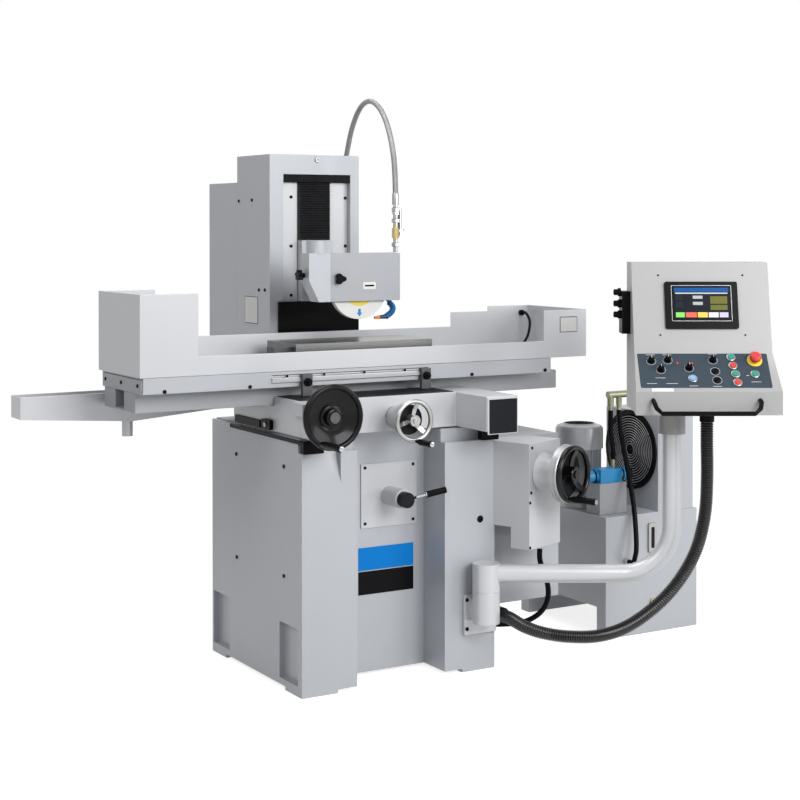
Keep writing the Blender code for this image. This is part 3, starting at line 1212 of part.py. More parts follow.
def build_table(mats, saddle, middle, axis_z):
    """The table with its splash guards, chuck, trip dogs and hydraulic rod."""
    table = pivot("table_slide", (CENTRE_X, middle, TABLE_Z), saddle)
    y0, y1 = TRAY_Y
    wall = TRAY_WALL
    slab_y = (y0 + TABLE_INSET, y1 - TABLE_INSET)
    casting = box("table_casting", TABLE_X, slab_y, (TABLE_Z, TRAY_Z - GAP))
    pocket = (middle - BEAM_SLOT_W / 2, middle + BEAM_SLOT_W / 2)
    ends = (TABLE_X[0] + CHANNEL_END, TABLE_X[1] - CHANNEL_END)
    cut(casting, box("table_channel", ends, pocket, (0.8, TABLE_Z + 0.018), True))
    finish(casting, mats["grey_paint"])

    left_end, right_end = TRAY_LEFT + LEFT_GUARD_W, TRAY_RIGHT - RIGHT_GUARD_W
    tray = box("splash_tray", (TRAY_LEFT, TRAY_RIGHT), TRAY_Y, (TRAY_Z, LEFT_TOP))
    between = (left_end, right_end)
    cut(
        tray,
        box("tray_hollow", (TRAY_LEFT + wall, TRAY_RIGHT - wall), (y0 + wall, y1 - wall), (TRAY_Z + wall, 2), True),
        box("tray_front_lip", between, (y0 - 0.1, y0 + 2 * wall), (LIP_TOP, 2), True),
        box("tray_back_wall", (left_end, BACK_STEP_X), (y1 - 2 * wall, y1 + 0.1), (BACK_TOP, 2), True),
        box("tray_back_step", (BACK_STEP_X - 0.01, right_end), (y1 - 2 * wall, y1 + 0.1), (BACK_STEP_TOP, 2), True),
        box("tray_right_top", (right_end - 0.01, TRAY_RIGHT + 0.1), (y0 - 0.1, y1 + 0.1), (RIGHT_TOP, 2), True),
    )
    gland_at = (TRAY_RIGHT - GLAND_IN, y1 - wall / 2, TRAY_Z + GLAND_RISE)
    add(tray, cylinder("chuck_cable_gland", gland_at, (0, -1, 0), GLAND_R, GLAND_L, 16, True))
    finish(tray, mats["grey_paint"])

    chuck_z = (TRAY_Z + wall + GAP, TRAY_Z + wall + GAP + CHUCK_H)
    chuck_y = (middle - CHUCK_FORWARD - CHUCK_W / 2, middle - CHUCK_FORWARD + CHUCK_W / 2)
    chuck = box("magnetic_chuck", (CHUCK_X, CHUCK_X + CHUCK_L), chuck_y, chuck_z)
    block_x = (CHUCK_X - TERMINAL[0], CHUCK_X + 0.005)
    block_y = (chuck_y[0] + 0.030, chuck_y[0] + 0.030 + TERMINAL[1])
    block = box("chuck_terminal", block_x, block_y, (chuck_z[0], chuck_z[0] + TERMINAL[2]), True)
    socket_at = (CHUCK_X + CHUCK_L - 0.005, chuck_y[0] + SOCKET_ACROSS, chuck_z[0] + SOCKET_RISE)
    socket = cylinder("chuck_cable_socket", socket_at, (1, 0, 0), GLAND_R - 0.001, SOCKET_L + 0.005, 16, True)
    add(chuck, block, socket)
    finish(chuck, mats["steel"])
    cable = cord("chuck_cable", CHUCK_CABLE_ROUTE, CABLE_R, mats["rubber"])

    rod_x = (CENTRE_X - ROD_END, CENTRE_X + ROD_END)
    rod = cylinder("piston_rod", (rod_x[0], middle, axis_z), (1, 0, 0), ROD_R, rod_x[1] - rod_x[0], 24)
    for i, x in enumerate((rod_x[0] + 0.015, rod_x[1] - 0.015)):
        lug = ((x - 0.012, x + 0.012), (middle - 0.020, middle + 0.020), (axis_z - 0.015, TABLE_Z + 0.018 - GAP))
        add(rod, box(f"rod_lug_{i}", *lug, True))
    finish(rod, mats["steel"])

    rail_y = (slab_y[0] - DOG_RAIL_T, slab_y[0])
    rail_z = (DOG_RAIL_Z - DOG_RAIL_H, DOG_RAIL_Z)
    add(casting, box("dog_rail", DOG_RAIL_X, (rail_y[0], slab_y[0] + 0.002), rail_z, True))
    carry(table, casting, tray, chuck, cable, rod)
    for side, x in zip(("left", "right"), DOG_X):
        dog_y = (rail_y[0] - GAP - DOG_T, rail_y[0] - GAP)
        dog = box(f"trip_dog_{side}", (x, x + DOG_W), dog_y, (rail_z[0] - DOG_DROP, rail_z[1] + 0.002))
        foot = box(f"dog_lip_{side}", (x, x + DOG_W), (dog_y[0], rail_y[1] - 0.002), (rail_z[1] + GAP, rail_z[1] + 0.006), True)
        add(dog, foot)
        finish(dog, mats["black"])
        carry(pivot(f"trip_dog_{side}_slide", (x, dog_y[0], rail_z[0]), table), dog)


def build_gearbox(mats):
    """The elevating gearbox on the base's corner, its handwheel, and the side cabinet."""
    place = Matrix.Translation((*GEARBOX_CORNER, 0)) @ Matrix.Rotation(GEARBOX_YAW, 4, "Z")
    body = box("elevating_gearbox", (0, GEARBOX_W), (0, GEARBOX_D), GEARBOX_Z)
    notch = box("gearbox_notch", (-0.1, GEARBOX_W + 0.1), (GEARBOX_FOOT_D, GEARBOX_D + 0.1), (0.2, GEARBOX_REAR_Z), True)
    about(place, body, notch)
    corner = box("gearbox_corner", (0, BASE_RIGHT + GAP), (BASE_FRONT - GAP, BASE_BACK), (GEARBOX_Z[0] - 0.1, GEARBOX_Z[1] + 0.1), True)
    behind = box("gearbox_behind", (0, 1.5), (CABINET_Y[0] - GAP, BASE_BACK), (GEARBOX_Z[0] - 0.1, GEARBOX_Z[1] + 0.1), True)
    cut(body, notch, corner, behind)
    outward = place.to_3x3() @ Vector((0, -1, 0))
    face = place @ Vector((RAISE_ACROSS, -GAP, RAISE_Z))
    boss = cylinder("elevating_boss", face - outward * 0.005, outward, RAISE_BOSS_R, RAISE_BOSS_L + 0.005, 28, True)
    bore = cylinder("gearbox_bore", face - outward * 0.08, outward, RAISE_WHEEL["hub_r"] * 0.45 + RUN, 0.2, 16, True)
    gland_at = place @ Vector((GLAND_ACROSS, GLAND_DEEP, GEARBOX_Z[0] - HOSE_GLAND_L))
    gland = cylinder("gearbox_gland", gland_at, (0, 0, 1), HOSE_GLAND_R, HOSE_GLAND_L + 0.005, 16, True)
    add(body, boss, gland)
    cut(body, bore)
    finish(body, mats["grey_paint"])
    at = face + outward * (RAISE_REACH + GAP)
    handwheel("elevating_handwheel", RAISE_WHEEL, at, outward, RAISE_GRIP, mats, mats["black"], None, 0.120)

    cabinet = box("side_cabinet", (BASE_RIGHT + GAP, CABINET_X), CABINET_Y, CABINET_Z)
    inner = box("cabinet_hollow", (BASE_RIGHT - 0.1, CABINET_X - SHEET), (CABINET_Y[0] + SHEET, CABINET_Y[1] - SHEET),
                (CABINET_Z[0] + SHEET, CABINET_Z[1] - SHEET), True)
    cut(cabinet, inner)
    finish(cabinet, mats["grey_paint"])


def build_arm(mats):
    """The bracket on the base, the swivelling arm and the pendant."""
    back = BASE_FRONT - GAP
    bracket = box("arm_bracket", BRACKET_X, (back - BRACKET_T, back), BRACKET_Z)
    x, y = SOCKET
    low, split, top = SOCKET_Z
    block = box("bracket_block", (x - 0.030, x + 0.030), (y, back - 0.002), (low + 0.010, BRACKET_Z[1] - 0.010), True)
    socket = cylinder("bracket_socket", (x, y, low), (0, 0, 1), SOCKET_R, split - GAP - low, SIDES, True)
    add(bracket, block, socket)
    add(bracket, cylinder("arm_pivot_pin", (x, y, low + 0.010), (0, 0, 1), PIN_R, top - low - 0.032, 24, True))
    finish(bracket, mats["alu"])

    arm_axis = pivot("arm_swivel", (x, y, split))
    across = Matrix.Rotation(VIEW_YAW, 4, "Z")
    place = Matrix.Translation((x, y, 0)) @ across
    arm = cylinder("pendant_arm", (x, y, split), (0, 0, 1), SOCKET_R, top - split)
    bend = []
    for i in range(9):
        angle = math.pi / 2 * i / 8
        bend.append((ARM_REACH - ARM_BEND_R * (1 - math.sin(angle)), 0, ARM_Z + ARM_BEND_R * (1 - math.cos(angle))))
    tube = pipe("arm_tube", [(0.010, 0, ARM_Z), *bend, (ARM_REACH, 0, ARM_TOP)], ARM_TUBE_R, 20, True)
    about(place, tube)
    add(arm, tube)
    cut(arm, cylinder("arm_bore", (x, y, split - 0.1), (0, 0, 1), PIN_R + RUN, top - split + 0.1 - 0.018, 24, True))
    finish(arm, mats["alu"])
    carry(arm_axis, arm)
    build_pendant(mats, arm_axis, place @ Matrix.Translation((ARM_REACH, 0, 0)))


def console_frame():
    """The console's face in the pendant's own frame: its top middle, way down and way out."""
    low_z, lip_z, bend_z, _ = PENDANT_Z
    top = Vector((0, PENDANT_BEND_Y, bend_z))
    bottom = Vector((0, PENDANT_LIP_Y, lip_z))
    down = bottom - top
    out = Vector((0, down.z, -down.y)).normalized()
    return top, down, out


def build_pendant(mats, arm_axis, place):
    """The pendant's housing with its handle and handset, and its controls."""
    at = place @ Vector((0, 0, ARM_TOP))
    axis = pivot("pendant_swivel", at, arm_axis)
    low_z, lip_z, bend_z, top_z = PENDANT_Z
    half, wide, mid = PENDANT_W / 2, CONSOLE_W / 2, PENDANT_ACROSS
    side = [
        (PENDANT_BACK, low_z), (PENDANT_BACK, top_z), (PENDANT_TOP_Y, top_z),
        (PENDANT_BEND_Y, bend_z), (PENDANT_BEND_Y, low_z),
    ]
    housing = prism("pendant_housing", "X", side, (mid - half, mid + half))
    nose = [(mid + s * (half - 0.0005), PENDANT_BEND_Y + 0.02, z) for s in (-1, 1) for z in (low_z, bend_z)]
    nose += [(mid + s * (half - 0.0005), PENDANT_BEND_Y, z) for s in (-1, 1) for z in (low_z, bend_z)]
    nose += [(mid + s * wide, PENDANT_LIP_Y, z) for s in (-1, 1) for z in (low_z, lip_z)]
    add(housing, hull_of("console_nose", nose, True))

    top, down, out = console_frame()
    length = down.length
    way = down.normalized()
    movers = []
    for name, (kind, across, share) in CONTROLS.items():
        spot = top + Vector((across, 0, 0)) + way * (share * length)
        if kind == "knob":
            profile = [(0, GAP), (DIAL_R, GAP), (DIAL_R * 0.85, DIAL_T), (0, DIAL_T)]
            movers.append((turned(name, profile, spot, out, 20), kind, spot))
            continue
        stem_r = ESTOP_STEM_R if kind == "estop" else BUTTON_R
        if kind == "estop":
            profile = [
                (0, -BUTTON_IN), (stem_r, -BUTTON_IN), (stem_r, 0.010), (ESTOP_R, 0.014),
                (ESTOP_R, 0.022), (ESTOP_R * 0.7, 0.028), (0, 0.028),
            ]
        else:
            profile = [(0, -BUTTON_IN), (stem_r, -BUTTON_IN), (stem_r, BUTTON_OUT), (0, BUTTON_OUT)]
        movers.append((turned(name, profile, spot, out, 20), kind, spot))
        depth = BUTTON_IN + BUTTON_TRAVEL + 0.002
        hole = cylinder(f"{name}_hole", spot - out * depth, out, stem_r + RUN, depth + 0.01, 20, True)
        cut(housing, hole)
        about(place, hole)

    z = lip_z - 0.025
    x0, x1 = HANDLE_X
    y = PENDANT_LIP_Y
    route = [
        (x0, y - GAP, z), (x0, y - HANDLE_OUT * 0.5, z - 0.004), (x0 + 0.006, y - HANDLE_OUT * 0.9, z - HANDLE_DROP * 0.6),
        (x0 + 0.022, y - HANDLE_OUT, z - HANDLE_DROP), (x1 - 0.022, y - HANDLE_OUT, z - HANDLE_DROP),
        (x1 - 0.006, y - HANDLE_OUT * 0.9, z - HANDLE_DROP * 0.6), (x1, y - HANDLE_OUT * 0.5, z - 0.004), (x1, y - GAP, z),
    ]
    route = [(x0, y + 0.004, z), *route[1:-1], (x1, y + 0.004, z)]
    handle = pipe("pendant_handle", route, HANDLE_R, 12, True)
    thick, deep, tall = HANDSET
    edge = mid - half + 0.002
    handset = box("handset", (edge - thick, edge), (-0.018, deep - 0.018), (HANDSET_Z, HANDSET_Z + tall), True)
    collar = cylinder("pendant_collar", (0, 0, ARM_TOP + GAP), (0, 0, 1), COLLAR_R, low_z - ARM_TOP + 0.005, 28, True)
    connector_at = (*CONNECTOR_AT, low_z - CONNECTOR_L)
    connector_r = CONDUIT_R + 0.002
    connector = cylinder("conduit_connector", connector_at, (0, 0, 1), connector_r, CONNECTOR_L + 0.005, 20, True)
    about(place, housing, handle, handset, collar, connector, bpy.data.objects["console_nose"])
    add(housing, handle, handset, collar, connector)
    finish(housing, mats["grey_paint"])
    carry(axis, housing)
    colours = {"green": "green", "red": "red", "estop": "red", "lit": "blue"}
    for obj, kind, spot in movers:
        about(place, obj)
        finish(obj, mats[colours.get(obj.name.split("_")[0], "black")])
        carry(pivot(f"{obj.name}_axis", place @ spot, axis), obj)


def build_conduits(mats):
    """The pendant's conduit to the base and the gearbox's hose."""
    cord("pendant_conduit", CONDUIT_ROUTE, CONDUIT_R, mats["rubber"], 3)
    cord("gearbox_hose", SMALL_HOSE_ROUTE, SMALL_HOSE_R, mats["rubber"])


def build_hydraulics(mats):
    """The hydraulic tank with its pump, valves and oil cooler."""
    x, y = TANK_X, TANK_Y
    tank = box("hydraulic_tank", x, y, (0, LID_TOP))
    wall = TANK_WALL
    floor = TANK_ARCH_H + wall
    cut(
        tank,
        box("tank_hollow", (x[0] + wall, x[1] - wall), (y[0] + wall, y[1] - wall), (floor, LID_TOP - wall), True),
        cylinder("pump_hole", (*PUMP_AT, floor + 0.1), (0, 0, 1), PUMP_R * 0.8, 1, 24, True),
        box("tank_arch", (x[0] - 0.1, x[1] + 0.1), TANK_ARCH_Y, (-0.1, TANK_ARCH_H), True),
    )
    gland_at = (x[0] + CONDUIT_END[0], y[0] - CONDUIT_END[1] + GAP, CONDUIT_END[2])
    add(tank, cylinder("tank_gland", gland_at, (0, 1, 0), HOSE_GLAND_R, CONDUIT_END[1] + 0.003, 16, True))
    line_at = (BASE_RIGHT + GAP, y[0] + OIL_LINE[0], OIL_LINE[1])
    line = cylinder("oil_line", line_at, (1, 0, 0), OIL_LINE_R, x[0] + wall / 2 - line_at[0], 16, True)
    flange = cylinder("oil_line_flange", line_at, (1, 0, 0), 2 * OIL_LINE_R, OIL_LINE_R, 20, True)
    add(tank, line, flange)
    finish(tank, mats["grey_paint"])

    foot = LID_TOP + GAP
    profile = [(0, 0), (PUMP_R, 0), (PUMP_R, PUMP_H * 0.86), (PUMP_R * 0.82, PUMP_H), (0, PUMP_H)]
    finish(turned("pump_motor", profile, (*PUMP_AT, foot), (0, 0, 1)), mats["alu"])
    low = foot + MANIFOLD_H
    manifold = box("valve_manifold", MANIFOLD_X, MANIFOLD_Y, (foot, low))
    block_x = (MANIFOLD_X[0] + 0.012, MANIFOLD_X[1] - 0.012)
    block_y = (MANIFOLD_Y[0] + 0.010, MANIFOLD_Y[1] - 0.010)
    block = box("directional_valve", block_x, block_y, (low - 0.005, low + VALVE_BLOCK_H), True)
    top = low + VALVE_BLOCK_H
    nipple_at = (MANIFOLD_X[0] + NIPPLE_IN[0], MANIFOLD_Y[0] + NIPPLE_IN[1], top - 0.005)
    nipple = cylinder("valve_nipple", nipple_at, (0, 0, 1), NIPPLE_R, NIPPLE_H + 0.005, 12, True)
    add(manifold, block, nipple)
    mid = (block_y[0] + block_y[1]) / 2
    z = low + VALVE_BLOCK_H / 2
    coil_at = (block_x[0] - SOLENOID_L, mid, z)
    coils = cylinder("solenoids", coil_at, (1, 0, 0), SOLENOID_R, block_x[1] - block_x[0] + 2 * SOLENOID_L, 20, True)
    add(manifold, coils)
    finish(manifold, mats["alu"])

    cooler = box("oil_cooler", COOLER_X, COOLER_Y, (foot, foot + COOLER_H))
    fan_y = (COOLER_Y[0] + COOLER_Y[1]) / 2
    well = cylinder("fan_well", (COOLER_X[0] - 0.01, fan_y, FAN_Z), (1, 0, 0), FAN_WELL_R, FAN_WELL_D + 0.01, 40, True)
    cut(cooler, well)
    face = COOLER_X[0]
    guard_at = (face + WIRE, fan_y, FAN_Z)
    add(cooler, ring("fan_guard", guard_at, (-1, 0, 0), FAN_GUARD_R - 0.014, FAN_GUARD_R, 3 * WIRE, 32, True))
    for i in range(GUARD_SPOKES):
        turn = Matrix.Translation((0, fan_y, FAN_Z)) @ Matrix.Rotation(math.pi / GUARD_SPOKES * i, 4, "X")
        depth = (face - 1.5 * WIRE - i * GAP, face - 0.5 * WIRE + i * GAP)
        reach = FAN_GUARD_R - 0.006
        spoke = box(f"guard_spoke_{i}", depth, (-WIRE / 2, WIRE / 2), (-reach, reach), True)
        about(turn, spoke)
        add(cooler, spoke)
    seat = COOLER_X[0] + FAN_WELL_D - GAP
    fan = cylinder("cooler_fan", (seat, fan_y, FAN_Z), (-1, 0, 0), FAN_HUB_R, FAN_WELL_D - 0.012, 20)
    for i in range(FAN_BLADES):
        turn = Matrix.Translation((seat - FAN_WELL_D / 2, fan_y, FAN_Z)) @ Matrix.Rotation(2 * math.pi / FAN_BLADES * i, 4, "X")
        blade = box(f"fan_blade_{i}", (-0.0015, 0.0015), (-0.028, 0.028), (FAN_HUB_R - 0.006, FAN_R), True)
        about(turn @ Matrix.Rotation(math.radians(28), 4, "Z"), blade)
        add(fan, blade)
    finish(fan, mats["black"])
    carry(pivot("cooler_fan_axis", (seat, fan_y, FAN_Z)), fan)

    x0, x1 = PIPE_X
    drop = PIPE_Z - PIPE_DROP
    tee_at = (x0 + TEE_IN, PIPE_Y, PIPE_Z - TEE_DROP)
    hose_top = Vector((x0, PIPE_Y, PIPE_Z - PIPE_DROP + 0.010))
    hose_foot = Vector((MANIFOLD_X[0] + NIPPLE_IN[0], MANIFOLD_Y[0] + NIPPLE_IN[1], top + NIPPLE_H + GAP))
    hose = [hose_top, *(hose_top + Vector(p) for p in RETURN_BENDS), hose_foot + Vector((0, 0, 0.0240)), hose_foot]
    tee_low = Vector((x0 + TEE_IN, PIPE_Y, PIPE_Z - TEE_DROP + 0.010))
    gland = Vector((x[0] + CONDUIT_END[0], y[0] - CONDUIT_END[1], CONDUIT_END[2]))
    conduit = [tee_low, *(tee_low + Vector(p) for p in CONDUIT_BENDS), gland - Vector((0, 0.018, 0)), gland]
    add(
        cooler,
        cylinder("cooler_pipe_run", (x0 - PIPE_R, PIPE_Y, PIPE_Z), (1, 0, 0), PIPE_R, x1 - x0 + 2 * PIPE_R, 20, True),
        cylinder("cooler_pipe_drop", (x0, PIPE_Y, drop), (0, 0, 1), PIPE_R * 0.96, PIPE_DROP, 20, True),
        cylinder("cooler_pipe_foot", (x1, PIPE_Y, COOLER_TOP - 0.010), (0, 0, 1), PIPE_R * 0.96, PIPE_RISE + 0.010, 20, True),
        cylinder("pipe_tee", tee_at, (0, 0, 1), TEE_R, TEE_DROP, 16, True),
        pipe("return_hose", smooth_route(hose, 0.030), RETURN_HOSE_R, 12, True),
        pipe("pump_conduit", smooth_route(conduit, 0.030), SMALL_HOSE_R, 12, True),
    )
    finish(cooler, mats["black"])


def build():
    """Make the whole machine."""
    clear_scene()
    mats = make_materials()
    lever_x, lever_y = build_base(mats)
    build_speed_lever(mats, lever_x, lever_y)
    build_column(mats)
    head, cover_back = build_wheelhead(mats)
    build_coolant(mats, head, cover_back)
    saddle, middle, axis_z = build_saddle(mats)
    build_table(mats, saddle, middle, axis_z)
    build_gearbox(mats)
    build_arm(mats)
    build_conduits(mats)
    build_hydraulics(mats)


build()
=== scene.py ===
import json
import math

import bmesh
import bpy
from mathutils import Matrix, Vector

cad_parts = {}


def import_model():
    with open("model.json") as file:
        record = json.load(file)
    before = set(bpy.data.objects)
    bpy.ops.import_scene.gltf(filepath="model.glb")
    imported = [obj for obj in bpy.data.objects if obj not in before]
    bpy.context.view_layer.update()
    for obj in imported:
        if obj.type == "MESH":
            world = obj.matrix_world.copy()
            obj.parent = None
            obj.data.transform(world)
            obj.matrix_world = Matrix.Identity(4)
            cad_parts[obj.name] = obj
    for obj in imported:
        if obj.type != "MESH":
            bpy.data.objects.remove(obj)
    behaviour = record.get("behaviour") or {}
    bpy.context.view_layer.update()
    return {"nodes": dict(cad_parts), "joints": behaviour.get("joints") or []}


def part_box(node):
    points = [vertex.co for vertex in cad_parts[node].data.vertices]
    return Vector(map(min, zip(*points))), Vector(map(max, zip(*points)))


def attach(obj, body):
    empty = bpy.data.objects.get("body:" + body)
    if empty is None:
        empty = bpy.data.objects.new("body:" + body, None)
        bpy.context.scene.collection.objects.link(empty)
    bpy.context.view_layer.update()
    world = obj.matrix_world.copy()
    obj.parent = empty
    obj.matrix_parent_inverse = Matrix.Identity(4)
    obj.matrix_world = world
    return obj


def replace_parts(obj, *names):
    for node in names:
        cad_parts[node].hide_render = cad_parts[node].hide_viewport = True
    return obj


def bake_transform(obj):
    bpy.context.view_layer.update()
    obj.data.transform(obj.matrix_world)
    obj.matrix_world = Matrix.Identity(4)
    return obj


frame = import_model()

JOINTS = {j["name"]: j for j in frame["joints"]}
FRONT, LEFT, UP = (0, -1, 0), (-1, 0, 0), (0, 0, 1)  # the ways that faces look


def having(thing, **settings):
    """The thing, with these settings."""
    for key, value in settings.items():
        setattr(thing, key, value)
    return thing


def new_object(name, data, **settings):
    """An object in the scene."""
    made = having(bpy.data.objects.new(name, data), **settings)
    bpy.context.scene.collection.objects.link(made)
    return made


# ---- camera
CAMERA_AT = (-2.2354, -4.2901, 1.3945)
CAMERA_AZIMUTH = math.radians(30.654)
CAMERA_DOWN = math.radians(0.648)
CAMERA_LENS = 73.04
CAMERA_SHIFT = -0.1964


def make_camera():
    """The camera at the photograph's viewing angle."""
    data = having(bpy.data.cameras.new("camera"), lens=CAMERA_LENS, shift_y=CAMERA_SHIFT)
    having(data, sensor_width=36.0, clip_end=60.0)
    turn = (math.pi / 2 - CAMERA_DOWN, 0, -CAMERA_AZIMUTH)
    bpy.context.scene.camera = new_object("camera", data, location=CAMERA_AT, rotation_euler=turn)


# ---- materials
# A finish is colour, roughness, metallic, and the pattern's size in metres, bump depth in metres
# and colour spread.
PAINT = ((0.43, 0.445, 0.475), 0.4, 0.12, (0.0022, 0.00005, 0.05))
PALE = ((0.53, 0.54, 0.56), 0.36, 0.15, (0.0022, 0.00005, 0.04))
CONSOLE = ((0.36, 0.36, 0.362), 0.45, 0.05, (0.0016, 0.00004, 0.03))
CASTING = ((0.33, 0.34, 0.36), 0.48, 0.15, (0.0035, 0.00012, 0.06))
BLACK = ((0.004, 0.004, 0.005), 0.3, 0.0, (0.0012, 0.00003, 0.25))
RUBBER = ((0.005, 0.005, 0.006), 0.42, 0.0, (0.001, 0.00005, 0.3))
STEEL = ((0.36, 0.36, 0.35), 0.3, 1.0, (0.0012, 0.00001, 0.1))
GROUND = ((0.21, 0.21, 0.207), 0.27, 0.85, (0.0015, 0.00001, 0.14))
CHROME = ((0.42, 0.43, 0.44), 0.15, 1.0, (0.01, 0.0, 0.04))
BRASS = ((0.42, 0.35, 0.17), 0.32, 1.0, (0.003, 0.00002, 0.2))
ALU = ((0.42, 0.43, 0.44), 0.42, 0.6, (0.0015, 0.00002, 0.08))
BLUE = ((0.01, 0.19, 0.5), 0.35, 0.0, (0.0015, 0.00002, 0.1))
SLATE = ((0.1, 0.11, 0.17), 0.5, 0.0, (0.0015, 0.00001, 0.05))
SILVER = ((0.56, 0.57, 0.59), 0.36, 0.25, (0.0022, 0.00004, 0.03))
LIT = ((0.2, 0.42, 0.72), 0.3, 0.0, (0.0015, 0.00001, 0.05))
GLOSSY = ((0.006, 0.006, 0.007), 0.22, 0.0, (0.001, 0.00002, 0.2))
PIPE = ((0.3, 0.305, 0.21), 0.36, 0.8, (0.003, 0.00002, 0.2))
SOLENOID = ((0.006, 0.28, 0.62), 0.35, 0.0, (0.0015, 0.00001, 0.06))
WORN = ((0.085, 0.085, 0.088), 0.35, 0.6, (0.0012, 0.00003, 0.15))
# the blue hose's colour darkened: painted shade for the hose where it runs in a gap
HOSE_SHADE_BLUE = ((0.003, 0.03, 0.1), 0.45, 0.0, (0.0015, 0.00002, 0.1))
SKY = ((0.006, 0.195, 0.6), 0.4, 0.0, (0.0015, 0.00001, 0.06))
ORANGE = ((0.8, 0.19, 0.02), 0.4, 0.0, (0.0015, 0.00002, 0.1))
GREEN = ((0.01, 0.28, 0.21), 0.3, 0.0, (0.0015, 0.00001, 0.06))
RED = ((0.62, 0.035, 0.035), 0.3, 0.0, (0.0015, 0.00001, 0.06))
YELLOW = ((0.85, 0.62, 0.02), 0.4, 0.0, (0.0015, 0.00001, 0.06))
WHITE = ((0.72, 0.72, 0.71), 0.55, 0.0, (0.0015, 0.00001, 0.03))
ABRASIVE = ((0.74, 0.735, 0.72), 0.92, 0.0, (0.0009, 0.0002, 0.1))
PAPER = ((0.78, 0.63, 0.1), 0.75, 0.0, (0.0012, 0.00002, 0.08))
TEAL = ((0.05, 0.068, 0.086), 0.42, 0.0, (0.0012, 0.00001, 0.06))
DARK = ((0.014, 0.015, 0.018), 0.4, 0.0, (0.0012, 0.00003, 0.15))
WIRE = ((0.42, 0.42, 0.43), 0.35, 0.5, (0.0012, 0.00001, 0.1))
FOLDED = ((0.035, 0.035, 0.038), 0.3, 0.0, (0.0012, 0.00002, 0.15))
DULL = (BLACK, RUBBER, DARK, SKY, TEAL)  # finishes that reflect little of the room
DULL_SHINE, PLAIN_SHINE = 0.06, 0.5
BROAD_SCALE = 6.0  # cells of the broad, faint unevenness in each metre
MADE = {}


def fill(tree, node, inputs):
    """Gives each input of a node its value, or wires it to the socket that is given."""
    for key, value in inputs.items():
        if isinstance(value, bpy.types.NodeSocket):
            tree.links.new(value, node.inputs[key])
        else:
            node.inputs[key].default_value = value


def node_of(tree, kind, inputs=None, **settings):
    """A shader node with its settings and inputs."""
    made = having(tree.nodes.new(kind), **settings)
    fill(tree, made, inputs or {})
    return made


def new_material(name):
    """A material with its node tree and shader."""
    material = bpy.data.materials.new(name)
    material.use_nodes = True
    tree = material.node_tree
    return material, tree, next(n for n in tree.nodes if n.type == "BSDF_PRINCIPLED")


def maths(tree, operation, *values):
    """A math node's result from sockets or numbers."""
    return node_of(tree, "ShaderNodeMath", dict(enumerate(values)), operation=operation).outputs[0]


def mixed(tree, factor, a, b, kind="RGBA"):
    """Two colours or numbers mixed, each a socket or a value."""
    inputs = {"Factor": factor, "A": a, "B": b}
    return node_of(tree, "ShaderNodeMix", inputs, data_type=kind).outputs["Result"]


def parts_of(tree, vector):
    """The sockets of a vector's X, Y and Z."""
    return node_of(tree, "ShaderNodeSeparateXYZ", {0: vector}).outputs


def scaled(colour, factor):
    """A colour made lighter or darker, with alpha."""
    return (*(min(1, c * factor) for c in colour), 1)


def tone(tree, colour, factor, spread):
    """The colour lightened and darkened by the pattern."""
    return mixed(tree, factor, scaled(colour, 1 - spread), scaled(colour, 1 + spread))


def mask_of(tree, coords, zone):
    """1 inside the zone's box, which may lie in a turned frame, and 0 outside."""
    def offset(vector, by):
        return node_of(tree, "ShaderNodeVectorMath", {0: vector, 1: by}, operation="SUBTRACT").outputs[0]

    low, high = Vector(zone["low"]), Vector(zone["high"])
    if "about" in zone:
        inputs = {"Vector": offset(coords, zone["about"]), "Angle": -zone["yaw"]}
        coords = node_of(tree, "ShaderNodeVectorRotate", inputs, rotation_type="Z_AXIS").outputs[0]
    away = offset(coords, (low + high) / 2)
    away = node_of(tree, "ShaderNodeVectorMath", {0: away}, operation="ABSOLUTE").outputs[0]
    x, y, z = (maths(tree, "LESS_THAN", *pair) for pair in zip(parts_of(tree, away), (high - low) / 2))
    return maths(tree, "MULTIPLY", maths(tree, "MULTIPLY", x, y), z)


def shine_of(look):
    return DULL_SHINE if look in DULL else PLAIN_SHINE


def finish(name, base, zones=(), pattern=None, coat=0.0):
    """A procedural finish. Each zone gives another inside its box, and pattern changes the colour."""
    if name in MADE:
        return MADE[name]
    material, tree, shader = new_material(name)
    coords = node_of(tree, "ShaderNodeTexCoord").outputs["Object"]
    colour, rough, metal, (size, depth, spread) = base
    fine, broad = (
        node_of(tree, "ShaderNodeTexNoise", {"Vector": coords, "Scale": scale, "Detail": n}).outputs["Fac"]
        for scale, n in ((1 / size, 3), (BROAD_SCALE, 4))
    )
    factor = maths(tree, "MULTIPLY", maths(tree, "ADD", fine, broad), 0.5)
    shown = tone(tree, colour, factor, spread)
    if pattern:
        shown = pattern(tree, coords, shown)
    levels = {"Roughness": rough, "Metallic": metal, "Specular IOR Level": shine_of(base)}
    for zone in zones:
        mask = mask_of(tree, coords, zone)
        zone_colour, zone_rough, zone_metal, (_, _, zone_spread) = zone["finish"]
        shown = mixed(tree, mask, shown, tone(tree, zone_colour, factor, zone_spread))
        inside = zip(levels.items(), (zone_rough, zone_metal, shine_of(zone["finish"])))
        levels = {key: mixed(tree, mask, before, value, "FLOAT") for (key, before), value in inside}
    if not zones:
        span = {"Value": factor, "To Min": rough * 0.85, "To Max": min(1.0, rough * 1.15)}
        levels["Roughness"] = node_of(tree, "ShaderNodeMapRange", span).outputs["Result"]
    fill(tree, shader, {**levels, "Base Color": shown})
    if depth:
        bump = node_of(tree, "ShaderNodeBump", {"Distance": depth, "Strength": 0.6, "Height": fine})
        fill(tree, shader, {"Normal": bump.outputs["Normal"]})
    if coat:
        fill(tree, shader, {"Coat Weight": coat, "Coat Roughness": 0.12})
    MADE[name] = material
    return material


